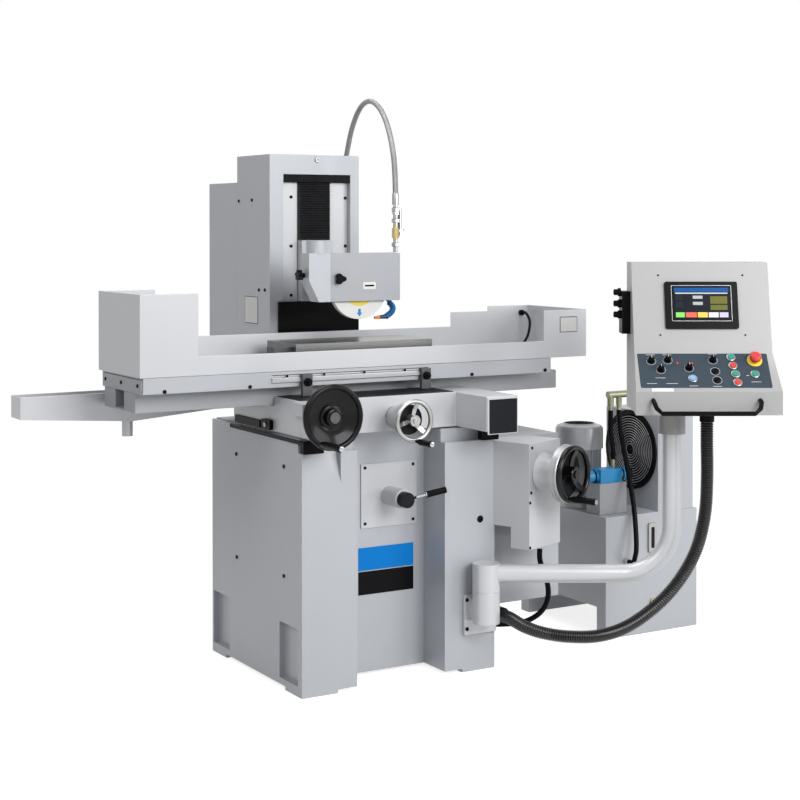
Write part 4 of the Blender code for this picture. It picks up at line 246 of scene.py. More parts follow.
def stripes(axis, pitch, share, dark):
    """A pattern of darker bands across an axis, a share of each pitch wide."""
    def paint(tree, coords, shown):
        place = maths(tree, "FRACT", maths(tree, "MULTIPLY", parts_of(tree, coords)[axis], 1 / pitch))
        return mixed(tree, maths(tree, "LESS_THAN", place, share), shown, (*dark, 1))
    return paint


def braid(name, colour, rough, metal, turns, pitch):
    """Woven wire over a hose, from the tube's own lengthwise and round-about coordinates."""
    material, tree, shader = new_material(name)
    round_about, along, _ = parts_of(tree, node_of(tree, "ShaderNodeUVMap", uv_map="tube").outputs[0])
    waves = []
    for sign in (1, -1):
        lengthwise = maths(tree, "MULTIPLY", along, 2 * math.pi / pitch)
        turning = maths(tree, "MULTIPLY", round_about, sign * 2 * math.pi * turns)
        waves.append(maths(tree, "SINE", maths(tree, "ADD", lengthwise, turning)))
    height = maths(tree, "MULTIPLY", *waves)
    ramp = node_of(tree, "ShaderNodeMapRange", {"Value": height, "From Min": -1}).outputs["Result"]
    fill(tree, shader, {
        "Base Color": mixed(tree, ramp, scaled(colour, 0.45), scaled(colour, 1)),
        "Roughness": rough, "Metallic": metal,
        "Normal": node_of(tree, "ShaderNodeBump", {"Distance": 0.0005, "Height": height}).outputs["Normal"],
    })
    return material


def screen_material():
    """A lit touch screen: dark with a blue bar, pale rows and coloured keys, without lettering."""
    material, tree, shader = new_material("screen")
    across, up, _ = parts_of(tree, node_of(tree, "ShaderNodeUVMap", uv_map="face").outputs[0])
    shown = (0.004, 0.006, 0.01, 1)
    dark, pale, olive, keys_up = (0.008, 0.012, 0.016), (0.3, 0.31, 0.32), (0.1, 0.1, 0.02), (0.04, 0.2)
    # each area is its span across, its span up and its colour
    areas = [
        ((0.0, 1.0), (0.86, 1.0), (0.005, 0.055, 0.2)), ((0.02, 0.98), (0.8, 0.84), (0.35, 0.38, 0.4)),
        ((0.03, 0.16), (0.6, 0.78), dark), ((0.03, 0.16), (0.36, 0.54), dark),
        ((0.34, 0.52), (0.64, 0.74), pale), ((0.34, 0.52), (0.44, 0.54), pale),
        ((0.66, 0.97), (0.48, 0.72), olive), ((0.66, 0.97), (0.28, 0.44), olive),
        ((0.02, 0.18), keys_up, (0.16, 0.5, 0.1)), ((0.2, 0.4), keys_up, (0.6, 0.1, 0.07)),
        ((0.42, 0.6), keys_up, (0.75, 0.42, 0.08)), ((0.62, 0.8), keys_up, (0.52, 0.53, 0.5)),
        ((0.82, 0.98), keys_up, (0.42, 0.36, 0.55)),
    ]
    for (x0, x1), (y0, y1), colour in areas:
        mask = maths(tree, "GREATER_THAN", across, x0)
        for test, at, limit in (("LESS_THAN", across, x1), ("GREATER_THAN", up, y0), ("LESS_THAN", up, y1)):
            mask = maths(tree, "MULTIPLY", mask, maths(tree, test, at, limit))
        shown = mixed(tree, mask, shown, (*colour, 1))
    fill(tree, shader, {
        "Base Color": shown, "Emission Color": shown, "Emission Strength": 0.7,
        "Roughness": 0.25, "Specular IOR Level": DULL_SHINE,
    })
    return material


# ---- what several sections share
MOULDED = finish("moulded_black", BLACK)
SCREW_DARK = finish("screw_dark", DARK)
PLATE_PALE = finish("plate_pale", WHITE)
DIAL_ALU = finish("dial_alu", ALU)
KNOBS = ("selector_1", "selector_2", "feed_knob_1", "feed_knob_2", "feed_knob_3")
GRIPS = ("table_handwheel_grip", "cross_handwheel_grip", "elevating_handwheel_grip")


# ---- meshes
def piece(name, bm, look, body=None, smooth_angle=None, outwards=True):
    """A new piece, riding on its body, and smooth where faces meet at less than the angle in degrees."""
    mesh = bpy.data.meshes.new(name)
    if outwards:
        bmesh.ops.recalc_face_normals(bm, faces=bm.faces)
    bm.to_mesh(mesh)
    bm.free()
    if smooth_angle:
        mesh.polygons.foreach_set("use_smooth", [True] * len(mesh.polygons))
        mesh.set_sharp_from_angle(angle=math.radians(smooth_angle))
    mesh.materials.append(look)
    made = new_object(name, mesh)
    if body:
        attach(made, body)
    return made


def centre_of(node):
    low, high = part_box(node)
    return (low + high) / 2


def frame_at(at, out, up=UP):
    """A matrix whose Z looks out of a face and whose Y is as near up as it can be."""
    z = Vector(out).normalized()
    up = Vector(up)
    if abs(z.dot(up)) > 0.95:
        up = Vector((0, 1, 0))
    x = up.cross(z).normalized()
    y = z.cross(x)
    return Matrix.Translation(at) @ Matrix((x, y, z)).transposed().to_4x4()


def circle(radius, sides):
    """Even points round a circle."""
    angles = [2 * math.pi * k / sides for k in range(sides)]
    return [(radius * math.cos(a), radius * math.sin(a)) for a in angles]


def lathe(bm, profile, place, sides=24, ring_shaped=False):
    """A turned shape from (radius, height) pairs about the place's Z. A ring joins its last to its first."""
    rings = []
    for radius, height in profile:
        spots = circle(radius, sides) if radius else [(0, 0)]
        rings.append([bm.verts.new(place @ Vector((x, y, height))) for x, y in spots])
    pairs = list(zip(rings, rings[1:]))
    if ring_shaped:
        pairs.append((rings[-1], rings[0]))
    for a, b in pairs:
        for k in range(sides):
            corners = [a[k % len(a)], a[(k + 1) % len(a)], b[(k + 1) % len(b)], b[k % len(b)]]
            unique = list(dict.fromkeys(corners))
            if len(unique) > 2:
                bm.faces.new(unique)
    for ring in () if ring_shaped else (rings[0], rings[-1]):
        if len(ring) > 1:
            bm.faces.new(ring)


def turned_piece(name, profile, places, look, body, sides=24, smooth_angle=40, ring_shaped=False):
    """A turned shape at one place, or at each of a list of places, as a piece of its own."""
    bm = bmesh.new()
    for place in places if isinstance(places, list) else [places]:
        lathe(bm, profile, place, sides, ring_shaped)
    return piece(name, bm, look, body, smooth_angle)


def slab(bm, place, width, height, thick, corner=0.002, edge=0.0006):
    """A plate with round corners and a softened rim, on the place's XY, standing thick proud."""
    outlines = []
    for inset, z in ((0, 0), (0, thick - edge), (edge, thick)):
        ring = []
        half_w, half_h, r = width / 2 - inset, height / 2 - inset, max(corner - inset, 0.0002)
        for cx, cy, start in ((1, 1, 0), (-1, 1, 90), (-1, -1, 180), (1, -1, 270)):
            for step in range(5):
                angle = math.radians(start + 22.5 * step)
                x = cx * (half_w - r) + r * math.cos(angle)
                y = cy * (half_h - r) + r * math.sin(angle)
                ring.append(bm.verts.new(place @ Vector((x, y, z))))
        outlines.append(ring)
    count = len(outlines[0])
    for a, b in zip(outlines, outlines[1:]):
        for k in range(count):
            bm.faces.new((a[k], a[(k + 1) % count], b[(k + 1) % count], b[k]))
    bm.faces.new(outlines[0])
    bm.faces.new(outlines[-1])


def plate(name, at, out, width, height, thick, material, body, corner=0.002, up=UP):
    """One plate as a piece of its own, with face coordinates from 0 to 1."""
    bm = bmesh.new()
    place = frame_at(at, out, up)
    slab(bm, place, width, height, thick, corner)
    layer = bm.loops.layers.uv.new("face")
    back = place.inverted()
    for face in bm.faces:
        for loop in face.loops:
            spot = back @ loop.vert.co
            loop[layer].uv = (spot.x / width + 0.5, spot.y / height + 0.5)
    return piece(name, bm, material, body)


def screws(name, places, radius, look, body):
    """Socket-head screws with a hexagonal recess at each (point, outward direction)."""
    high = radius * 0.55
    profile = [
        (radius, 0), (radius, high * 0.75), (radius * 0.85, high),
        (radius * 0.48, high), (radius * 0.44, high * 0.35), (0, high * 0.35),
    ]
    return turned_piece(name, profile, [frame_at(at, out) for at, out in places], look, body, 12)


def smooth_route(points, spacing):
    """Points about a spacing apart on a smooth curve through a route's own points."""
    points = [Vector(p) for p in points]
    padded = [2 * points[0] - points[1], *points, 2 * points[-1] - points[-2]]
    made = [points[0]]
    for a, b, c, d in zip(padded, padded[1:], padded[2:], padded[3:]):
        steps = max(1, round((c - b).length / spacing))
        for k in range(1, steps + 1):
            t = k / steps
            curve = 2 * b + (c - a) * t + (2 * a - 5 * b + 4 * c - d) * t**2
            made.append(0.5 * (curve + (3 * b - a - 3 * c + d) * t**3))
    return made


def evened(points, step):
    """The same line as points, at even steps."""
    made, run, wanted = [points[0]], 0.0, step
    for a, b in zip(points, points[1:]):
        length = (b - a).length
        while run + length >= wanted:
            made.append(a.lerp(b, (wanted - run) / length))
            wanted += step
        run += length
    if (made[-1] - points[-1]).length > step * 0.3:
        made.append(points[-1])
    else:
        made[-1] = points[-1]
    return made


def tube(name, points, radius_at, sides, material):
    """A tube along points, closed at both ends, with lengthwise coordinates. Its radius may change."""
    bm = bmesh.new()
    layer = bm.loops.layers.uv.new("tube")
    rings, along = [], []
    way = (points[1] - points[0]).normalized()
    side = way.orthogonal().normalized()
    run = 0.0
    for k, point in enumerate(points):
        ahead = points[min(k + 1, len(points) - 1)] - points[max(k - 1, 0)]
        ahead.normalize()
        side = (side - ahead * side.dot(ahead)).normalized()
        other = ahead.cross(side)
        if k:
            run += (point - points[k - 1]).length
        radius = radius_at(run)
        rings.append([bm.verts.new(point + (side * x + other * y) * radius) for x, y in circle(1, sides)])
        along.append(run)
    for k in range(len(rings) - 1):
        for s in range(sides):
            t = (s + 1) % sides
            face = bm.faces.new((rings[k][s], rings[k][t], rings[k + 1][t], rings[k + 1][s]))
            spots = ((s, k), (s + 1, k), (s + 1, k + 1), (s, k + 1))
            for loop, (u, v) in zip(face.loops, spots):
                loop[layer].uv = (u / sides, along[v])
    bm.faces.new(reversed(rings[0]))
    bm.faces.new(rings[-1])
    return piece(name, bm, material, None, 60, outwards=False)


# ---- cords
BRAID_R = 0.009
CONDUIT_R = 0.0205
SMALL_HOSE_R = 0.0085
CABLE_R = 0.0045
BRAID_ROUTE = [
    (0.437, 0.2474, 1.458), (0.437, 0.2474, 1.5), (0.438, 0.26, 1.61),
    (0.443, 0.305, 1.71), (0.449, 0.37, 1.778), (0.456, 0.45, 1.808),
    (0.464, 0.53, 1.79), (0.471, 0.6, 1.725), (0.476, 0.65, 1.63),
    (0.478, 0.678, 1.545), (0.478, 0.68, 1.492), (0.478, 0.68, 1.4503),
]
CONDUIT_ROUTE = [
    (0.6495, -0.0603, 0.16), (0.6495, -0.1, 0.16), (0.665, -0.155, 0.144),
    (0.698, -0.205, 0.131), (0.754, -0.26, 0.124), (0.818, -0.33, 0.133),
    (0.876, -0.4, 0.17), (0.94, -0.465, 0.242), (0.996, -0.505, 0.323),
    (1.04, -0.528, 0.415), (1.064, -0.537, 0.52), (1.07, -0.539, 0.63),
    (1.0685, -0.5394, 0.73), (1.0685, -0.5394, 0.7977),
]
SMALL_HOSE_ROUTE = [
    (0.745, -0.125, 0.3747), (0.745, -0.125, 0.342), (0.76, -0.122, 0.3),
    (0.782, -0.116, 0.255), (0.79, -0.105, 0.205), (0.775, -0.086, 0.16),
    (0.74, -0.05, 0.128), (0.7, 0.01, 0.112), (0.668, 0.044, 0.11),
    (0.65, 0.05, 0.11), (0.6323, 0.05, 0.11),
]
CHUCK_CABLE_ROUTE = [
    (1.04, 0.3917, 1.085), (1.04, 0.372, 1.085), (1.04, 0.348, 1.055),
    (1.02, 0.335, 1.005), (0.975, 0.32, 0.974), (0.9, 0.308, 0.9655),
    (0.8, 0.29, 0.964), (0.7, 0.27, 0.964), (0.62, 0.25, 0.966),
    (0.561, 0.24, 0.98), (0.5403, 0.24, 0.98),
]
RIDGE = 0.0075  # pitch of the conduit's corrugations
RIDGE_DEPTH = 0.0015  # half of their depth


def make_cords():
    """The four free cords, each along its CAD route."""
    rubber = finish("rubber_cord", RUBBER)
    wires = braid("woven_wire", (0.34, 0.34, 0.33), 0.3, 1.0, 8, 0.007)

    points = smooth_route(BRAID_ROUTE, BRAID_R)
    hose = tube("coolant_hose_braid", points, lambda run: BRAID_R, 20, wires)
    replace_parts(hose, "braided_coolant_hose")
    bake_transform(hose)

    points = evened(smooth_route(CONDUIT_ROUTE, 0.002), RIDGE / 6)
    conduit = tube(
        "pendant_conduit_hose", points,
        lambda run: CONDUIT_R - RIDGE_DEPTH + RIDGE_DEPTH * math.cos(2 * math.pi * run / RIDGE), 24,
        finish("conduit_gloss", GLOSSY),
    )
    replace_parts(conduit, "pendant_conduit")
    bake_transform(conduit)

    for name, cad, route, radius, body in (
        ("gearbox_hose_line", "gearbox_hose", SMALL_HOSE_ROUTE, SMALL_HOSE_R, "base"),
        ("chuck_lead", "chuck_cable", CHUCK_CABLE_ROUTE, CABLE_R, "table"),
    ):
        points = smooth_route(route, radius * 1.2)
        line = tube(name, points, lambda run, r=radius: r, 16, rubber)
        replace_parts(line, cad)
        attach(line, body)


# ---- CAD nodes: finishes and softened edges
PENDANT_AT = Vector(JOINTS["pendant_swivel"]["pos_m"])
YAW = math.radians(-30.65)
TURNED = {"about": (PENDANT_AT.x, PENDANT_AT.y, 0), "yaw": YAW}
TURN = Matrix.Rotation(YAW, 3, "Z")


def zone(low, high, look, turned=False):
    """A box with a finish of its own, in the pendant's turned frame if it is turned."""
    made = {"low": low, "high": high, "finish": look}
    if turned:
        made.update(TURNED)
    return made


def node_finishes():
    """Each CAD node's material, from its name, its finish and zones of (low corner, high corner, finish)."""
    chuck_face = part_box("magnetic_chuck")[1].z - 0.0006
    table = {
        "base_casting": ("base_paint", PAINT, ((0.6205, -0.1, 0.0), (0.7, 0.1, 0.2), BLACK)),
        "base_front_cover": ("cover_paint", PALE, ((0.27, -0.04, 0.51), (0.345, 0.0655, 0.6), PALE)),
        "speed_lever": (
            "lever_look", CHROME,
            ((0.27, -0.1, 0.52), (0.337, 0, 0.585), DARK),
            ((0.366, -0.1, 0.5), (0.45, 0, 0.62), BLACK),
        ),
        "column_casting": ("column_paint", PAINT, ((0.4478, 0.6, 1.3), (0.55, 0.79, 1.5), BRASS)),
        "column_rear_cover": ("sheet_paint", PAINT),
        "column_way_cover": ("panel_look", PALE, ((0.1, 0.4, 1.534), (0.5, 0.6, 1.6), BLACK)),
        "elevation_screw": ("screw_steel", STEEL),
        "wheelhead_housing": ("head_paint", PAINT, ((0.1, 0.45, 0.9), (0.5, 0.545, 1.1402), BLACK)),
        "spindle_cartridge": ("cartridge_steel", STEEL),
        "spindle_shaft": ("spindle_steel", STEEL),
        "grinding_wheel": ("abrasive_grain", ABRASIVE),
        "wheel_guard_body": ("guard_paint", PAINT),
        "wheel_guard_cover": ("guard_cover_paint", CASTING),
        "coolant_valve": (
            "valve_look", CHROME,
            # painted shade: the hose inside this box takes a darkened copy of the blue
            ((0.3, 0.15, 1.0), (0.45, 0.3, 1.1545), HOSE_SHADE_BLUE),
            ((0.3, 0.15, 1.0), (0.352, 0.3, 1.12), ORANGE),
            ((0.42, 0.23, 1.345), (0.45, 0.28, 1.39), BRASS),
        ),
        "coolant_valve_lever": ("lever_steel", STEEL),
        "saddle_casting": ("saddle_paint", PALE),
        "saddle_way_beam": ("beam_cast", CASTING),
        "table_cylinder": ("cylinder_steel", STEEL),
        "coolant_trough": ("trough_paint", SILVER),
        "table_casting": ("table_paint", PAINT, ((-0.09, 0.06, 0.931), (0.47, 0.0747, 0.955), STEEL)),
        "splash_tray": ("tray_paint", PALE, ((1.02, 0.385, 1.07), (1.06, 0.4035, 1.1), BLACK)),
        "magnetic_chuck": (
            "chuck_ground", GROUND,
            ((-0.1, 0.1, 0.9), (0.6, 0.4, chuck_face), GROUND),
            ((0.5105, 0.1, 0.9), (0.6, 0.4, 1.1), DARK),
            ((-0.1, 0.1, 0.9), (0.0195, 0.4, 1.1), WORN),
        ),
        "piston_rod": ("rod_chrome", CHROME),
        "elevating_gearbox": ("gearbox_paint", PALE),
        "side_cabinet": ("cabinet_paint", PAINT),
        "arm_bracket": ("bracket_paint", SILVER),
        "pendant_arm": ("arm_paint", SILVER),
        "pendant_housing": (
            "console_paint", CONSOLE,
            ((-0.2, -0.26, 0.83), (0.35, -0.2003, 0.95), BLACK, True),
            ((-0.2, -0.0185, 0.98), (-0.1312, 0.06, 1.25), BLACK, True),
            ((0.06, -0.125, 0.7), (0.12, -0.075, 0.8279), BLACK, True),
        ),
        "hydraulic_tank": ("tank_paint", PAINT),
        "pump_motor": ("motor_paint", PALE),
        "valve_manifold": (
            "manifold_look", CASTING,
            ((1.08, 0.07, 0.5155), (1.3, 0.16, 0.562), SOLENOID),
            ((1.165, 0.08, 0.5617), (1.25, 0.16, 2.0), PIPE),
        ),
        "oil_cooler": (
            "cooler_look", PAINT,
            ((1.1, -0.1, 0.2), (1.3597, 0.4, 0.9), BLACK),
            ((1.3602, 0.056, 0.48), (1.4215, 0.31, 0.7345), BLACK),
            ((1.1, -0.1, 0.755), (1.6, 0.4, 0.9), PIPE),
        ),
    }
    for node in (*GRIPS, "guard_cover_knob", "guard_star_knob", "cooler_fan"):
        table[node] = ("moulded_black", BLACK)
    table.update(dict.fromkeys(("trip_dog_left", "trip_dog_right"), ("dog_worn", WORN)))
    bands = stripes(0, 0.008, 0.14, (0.15, 0.146, 0.136))
    return {
        node: finish(name, base, [zone(*z) for z in zones], bands if node == "magnetic_chuck" else None)
        for node, (name, base, *zones) in table.items()
    }


FILLETS = {
    "base_casting": 0.006, "column_casting": 0.009, "saddle_casting": 0.003, "elevating_gearbox": 0.003,
    "side_cabinet": 0.003, "column_rear_cover": 0.005, "splash_tray": 0.0012, "coolant_trough": 0.001,
    "table_casting": 0.002, "saddle_way_beam": 0.002, "wheel_guard_body": 0.0012, "wheel_guard_cover": 0.001,
    "pendant_housing": 0.002, "hydraulic_tank": 0.002, "arm_bracket": 0.002, "magnetic_chuck": 0.0008,
    "base_front_cover": 0.0008, "column_way_cover": 0.0006, "pendant_arm": 0.001, "wheelhead_housing": 0.001,
    "valve_manifold": 0.001, "oil_cooler": 0.0006, "pump_motor": 0.002,
}


def soften(node, width):
    """Merge the node's split corners, round its edges, and shade it smooth, by modifiers alone."""
    mesh = node.data
    if "custom_normal" in mesh.attributes:
        mesh.attributes.remove(mesh.attributes["custom_normal"])
    mesh.polygons.foreach_set("use_smooth", [True] * len(mesh.polygons))
    new = node.modifiers.new
    having(new("weld", "WELD"), merge_threshold=0.00002)
    having(new("planar", "DECIMATE"), decimate_type="DISSOLVE", angle_limit=math.radians(0.6))
    edges = having(new("edges", "BEVEL"), width=width, segments=2, use_clamp_overlap=True)
    having(edges, limit_method="ANGLE", angle_limit=math.radians(42))
    having(new("normals", "WEIGHTED_NORMAL"), weight=80, keep_sharp=False)


def dress_nodes():
    """Gives every CAD node its finish and rounds its edges."""
    looks = node_finishes()
    for name, node in frame["nodes"].items():
        if name in looks and node.material_slots:
            for slot in node.material_slots:
                slot.material = looks[name]
        elif name in looks:
            node.data.materials.append(looks[name])
        soften(node, FILLETS.get(name, 0.0005))


# ---- added pieces
def bellows():
    """The folded way cover, pleated."""
    low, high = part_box("way_bellows")
    folds, pleat, edge = 24, 0.01, 0.003
    back = high.y - 0.001
    bm = bmesh.new()
    grid = []
    for k in range(2 * folds + 1):
        z = low.z + (high.z - low.z) * k / (2 * folds)
        proud = low.y if k % 2 else low.y + pleat
        grid.append([
            bm.verts.new((low.x, back, z)), bm.verts.new((low.x, proud + edge, z)),
            bm.verts.new((low.x + edge, proud, z)), bm.verts.new((high.x - edge, proud, z)),
            bm.verts.new((high.x, proud + edge, z)), bm.verts.new((high.x, back, z)),
        ])
    for a, b in zip(grid, grid[1:]):
        for k in range(5):
            bm.faces.new((a[k], a[k + 1], b[k + 1], b[k]))
        bm.faces.new((a[5], a[0], b[0], b[5]))
    bm.faces.new(grid[0])
    bm.faces.new(grid[-1])
    cloth = piece("bellows_folds", bm, finish("bellows_cloth", FOLDED))
    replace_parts(cloth, "way_bellows")
    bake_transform(cloth)


def wheel_details():
    """The wheel's paper label and its arrow, seen in front of the guard's opening."""
    low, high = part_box("grinding_wheel")
    x, z = (low.x + high.x) / 2, (low.z + high.z) / 2
    label = [(0.038, 0.0001), (0.06, 0.0001), (0.06, 0.0006), (0.038, 0.0006)]
    paper = finish("label_paper", PAPER)
    turned_piece("wheel_label", label, frame_at((x, low.y, z), FRONT), paper, "spindle", 48, None)
    bm = bmesh.new()
    place = frame_at((x, low.y - 0.0007, z - 0.079), FRONT)
    outline = [
        (-0.0045, 0.01), (0.0045, 0.01), (0.0045, -0.002), (0.01, -0.002), (0, -0.014),
        (-0.01, -0.002), (-0.0045, -0.002),
    ]
    front, rear = ([bm.verts.new(place @ Vector((a, b, c))) for a, b in outline] for c in (0.0004, -0.0004))
    bm.faces.new(front)
    bm.faces.new(reversed(rear))
    for k in range(len(outline)):
        n = (k + 1) % len(outline)
        bm.faces.new((front[k], rear[k], rear[n], front[n]))
    piece("wheel_arrow", bm, finish("arrow_blue", BLUE), "spindle")


def nozzle_segments():
    """The snap-together segments over the nozzle hose."""
    low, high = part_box("wheel_guard_body")
    corner = Vector((0.422, high.y - 0.004, low.z))
    bends = [
        (-0.0035, 0.009, -0.003), (-0.002, 0.006, -0.012), (-0.0005, -0.006, -0.02),
        (-0.006, -0.021, -0.029), (-0.02, -0.034, -0.04), (-0.044, -0.043, -0.052),
    ]
    segment, spacing = [(0.007, -0.0028), (0.0098, -0.0018), (0.0098, 0.0016), (0.007, 0.0026)], 0.009
    points = smooth_route([corner + Vector(b) for b in bends], 0.002)
    bm = bmesh.new()
    run, last = 0.0, -1.0
    for a, b in zip(points, points[1:]):
        run += (b - a).length
        if run - last >= spacing:
            last = run
            lathe(bm, segment, frame_at(a, b - a), 16)
    piece("nozzle_segments", bm, finish("segment_blue", BLUE), "wheelhead", 50)


def badges():
    """Bare name plates on the front of the base."""
    for name, z, height, look in (
        ("badge_upper", 0.3605, 0.071, finish("badge_blue", SKY)),
        ("badge_lower", 0.286, 0.072, finish("badge_black", BLACK)),
    ):
        plate(name, (0.298, 0.07, z), FRONT, 0.198, height, 0.0015, look, "base", 0.0008)


def lever_blade():
    """The coolant valve lever's flat blade, cranked outwards."""
    look, body = finish("blade_steel", CHROME), "coolant_valve_lever"
    plate("lever_blade", (0.466, 0.2455, 1.412), FRONT, 0.014, 0.076, 0.003, look, body, 0.005)
    plate("lever_crank", (0.459, 0.2455, 1.374), FRONT, 0.022, 0.012, 0.003, look, body, 0.004)


def way_caps():
    """Black end caps on the base's flat ways, and the saddle's dark coverings."""
    black, dark = finish("cap_black", BLACK), finish("saddle_end_dark", DARK)
    for side, (x0, x1) in {"left": (-0.066, 0.002), "right": (0.558, 0.622)}.items():
        middle = ((x0 + x1) / 2, -0.055, 0.7405)
        plate(f"way_cap_{side}", middle, FRONT, x1 - x0, 0.038, 0.022, black, "base", 0.004)
    grommet = [(0.011, 0), (0.011, 0.002), (0.008, 0.004), (0.005, 0.004), (0.005, 0.001), (0, 0.001)]
    turned_piece("pillar_grommet", grommet, frame_at((0.566, -0.055, 0.473), FRONT), black, "base")
    rim = finish("end_plate_rim", PALE)
    plate("saddle_end_plate", (0.5555, -0.1951, 0.812), FRONT, 0.11, 0.112, 0.002, rim, "saddle")
    plate("saddle_end_face", (0.5565, -0.1972, 0.8105), FRONT, 0.102, 0.104, 0.0012, dark, "saddle")
    for name, at, width, height, thick in (
        ("saddle_mat", (0.224, 0.062, 0.8721), 0.54, 0.156, 0.0016),
        ("block_mat", (0.5555, -0.106, 0.8682), 0.104, 0.172, 0.0014),
    ):
        plate(name, at, UP, width, height, thick, dark, "saddle", 0.003, (0, 1, 0))
    plate("way_strip_left", (-0.0602, 0.195, 0.7535), LEFT, 0.49, 0.012, 0.004, black, "base", 0.002)
    plate("saddle_wiper", (-0.0528, 0.325, 0.779), LEFT, 0.18, 0.024, 0.005, black, "saddle", 0.003)
    plate("saddle_bracket", (-0.0528, 0.18, 0.784), LEFT, 0.06, 0.03, 0.012, black, "saddle", 0.003)
    bright = finish("screw_bright", STEEL)
    screws("bracket_bolt", [((-0.0648, 0.18, 0.784), LEFT)], 0.0075, bright, "saddle")
    paint, glass = finish("gib_paint", PALE), finish("gauge_glass", DARK)
    plate("gib_block", (-0.0528, -0.045, 0.852), LEFT, 0.07, 0.038, 0.018, paint, "saddle", 0.004)
    sight = [(0.011, 0), (0.011, 0.004), (0.009, 0.006), (0.007, 0.004), (0, 0.004)]
    turned_piece("oil_sight", sight, frame_at((-0.0528, -0.108, 0.835), LEFT), glass, "saddle")


def all_screws():
    """Socket screws where the photograph shows them, and the plates beside them."""
    panel = [((0.2008, 0.53, z), FRONT) for z in (1.486, 1.323, 1.16)]
    panel += [((0.4055, 0.53, z), FRONT) for z in (1.484, 1.322, 1.16)]
    column = [((0.1125, y, z), LEFT) for y, z in (
        (0.7472, 1.4746), (0.6445, 1.4767), (0.5913, 1.1767), (0.5457, 1.1783))]
    base = [((-0.06, y, z), LEFT) for y, z in (
        (0.398, 0.6664), (0.0617, 0.6699), (0.0623, 0.3411), (0.395, 0.3394))]
    cover = [((x, 0.0657, z), FRONT) for x in (0.2206, 0.3935) for z in (0.6434, 0.4705)]
    table = [((x, 0.075, z), FRONT) for x, z in (
        (-0.4372, 0.9119), (-0.1656, 0.9125), (0.62, 0.913), (0.9086, 0.9138))]
    gearbox = [(at, (0.358, -0.934, 0)) for at in (
        (0.6779, -0.177, 0.7018), (0.6729, -0.179, 0.5628),
        (0.6678, -0.1809, 0.5325), (0.668, -0.1808, 0.3928))]
    bracket = [((0.5094, -0.0673, z), FRONT) for z in (0.2275, 0.1371)]
    for name, places, radius, body in (
        ("panel_screws", panel, 0.0055, "base"), ("column_screws", column, 0.0055, "base"),
        ("base_screws", base, 0.006, "base"), ("cover_screws", cover, 0.005, "base"),
        ("table_screws", table, 0.006, "table"), ("gearbox_screws", gearbox, 0.0048, "base"),
        ("bracket_screws", bracket, 0.006, "base"),
    ):
        screws(name, places, radius, SCREW_DARK, body)
    flush = [(0.0045, 0), (0.0045, 0.00002), (0, 0.00002)]
    places = [frame_at((x, 0.068, 0.939), FRONT) for x in (-0.046, 0.08, 0.22, 0.3657)]
    turned_piece("rail_screws", flush, places, SCREW_DARK, "table", 16, None)
    # two thin dark plates along the table's rail are painted shade lines at the rail
    for name, z, height in (("rail_shade_line_low", 0.921, 0.0024), ("rail_shade_line_top", 0.9425, 0.002)):
        plate(name, (0.1805, 0.075, z), FRONT, 0.551, height, 0.0003, SCREW_DARK, "table", 0.001)
    seat = [(0.009, 0), (0.009, 0.003), (0.0075, 0.005), (0.004, 0.005), (0.004, 0.001), (0, 0.001)]
    ring = frame_at((0.2877, 0.51, 1.6097), FRONT)
    turned_piece("lifting_eye_seat", seat, ring, finish("ring_steel", STEEL), "base")
    edge = finish("plate_edge", SLATE)
    plate("column_plate_edge", (0.1125, 0.65, 1.108), LEFT, 0.102, 0.092, 0.0008, edge, "base", 0.001)
    plate("column_plate", (0.1117, 0.65, 1.108), LEFT, 0.096, 0.086, 0.0004, PLATE_PALE, "base", 0.001)
    plate("guard_plate_edge", (1.0025, 0.072, 1.062), FRONT, 0.072, 0.052, 0.0008, edge, "table", 0.001)
    plate("guard_plate", (1.0025, 0.0712, 1.062), FRONT, 0.067, 0.047, 0.0004, PLATE_PALE, "table", 0.001)


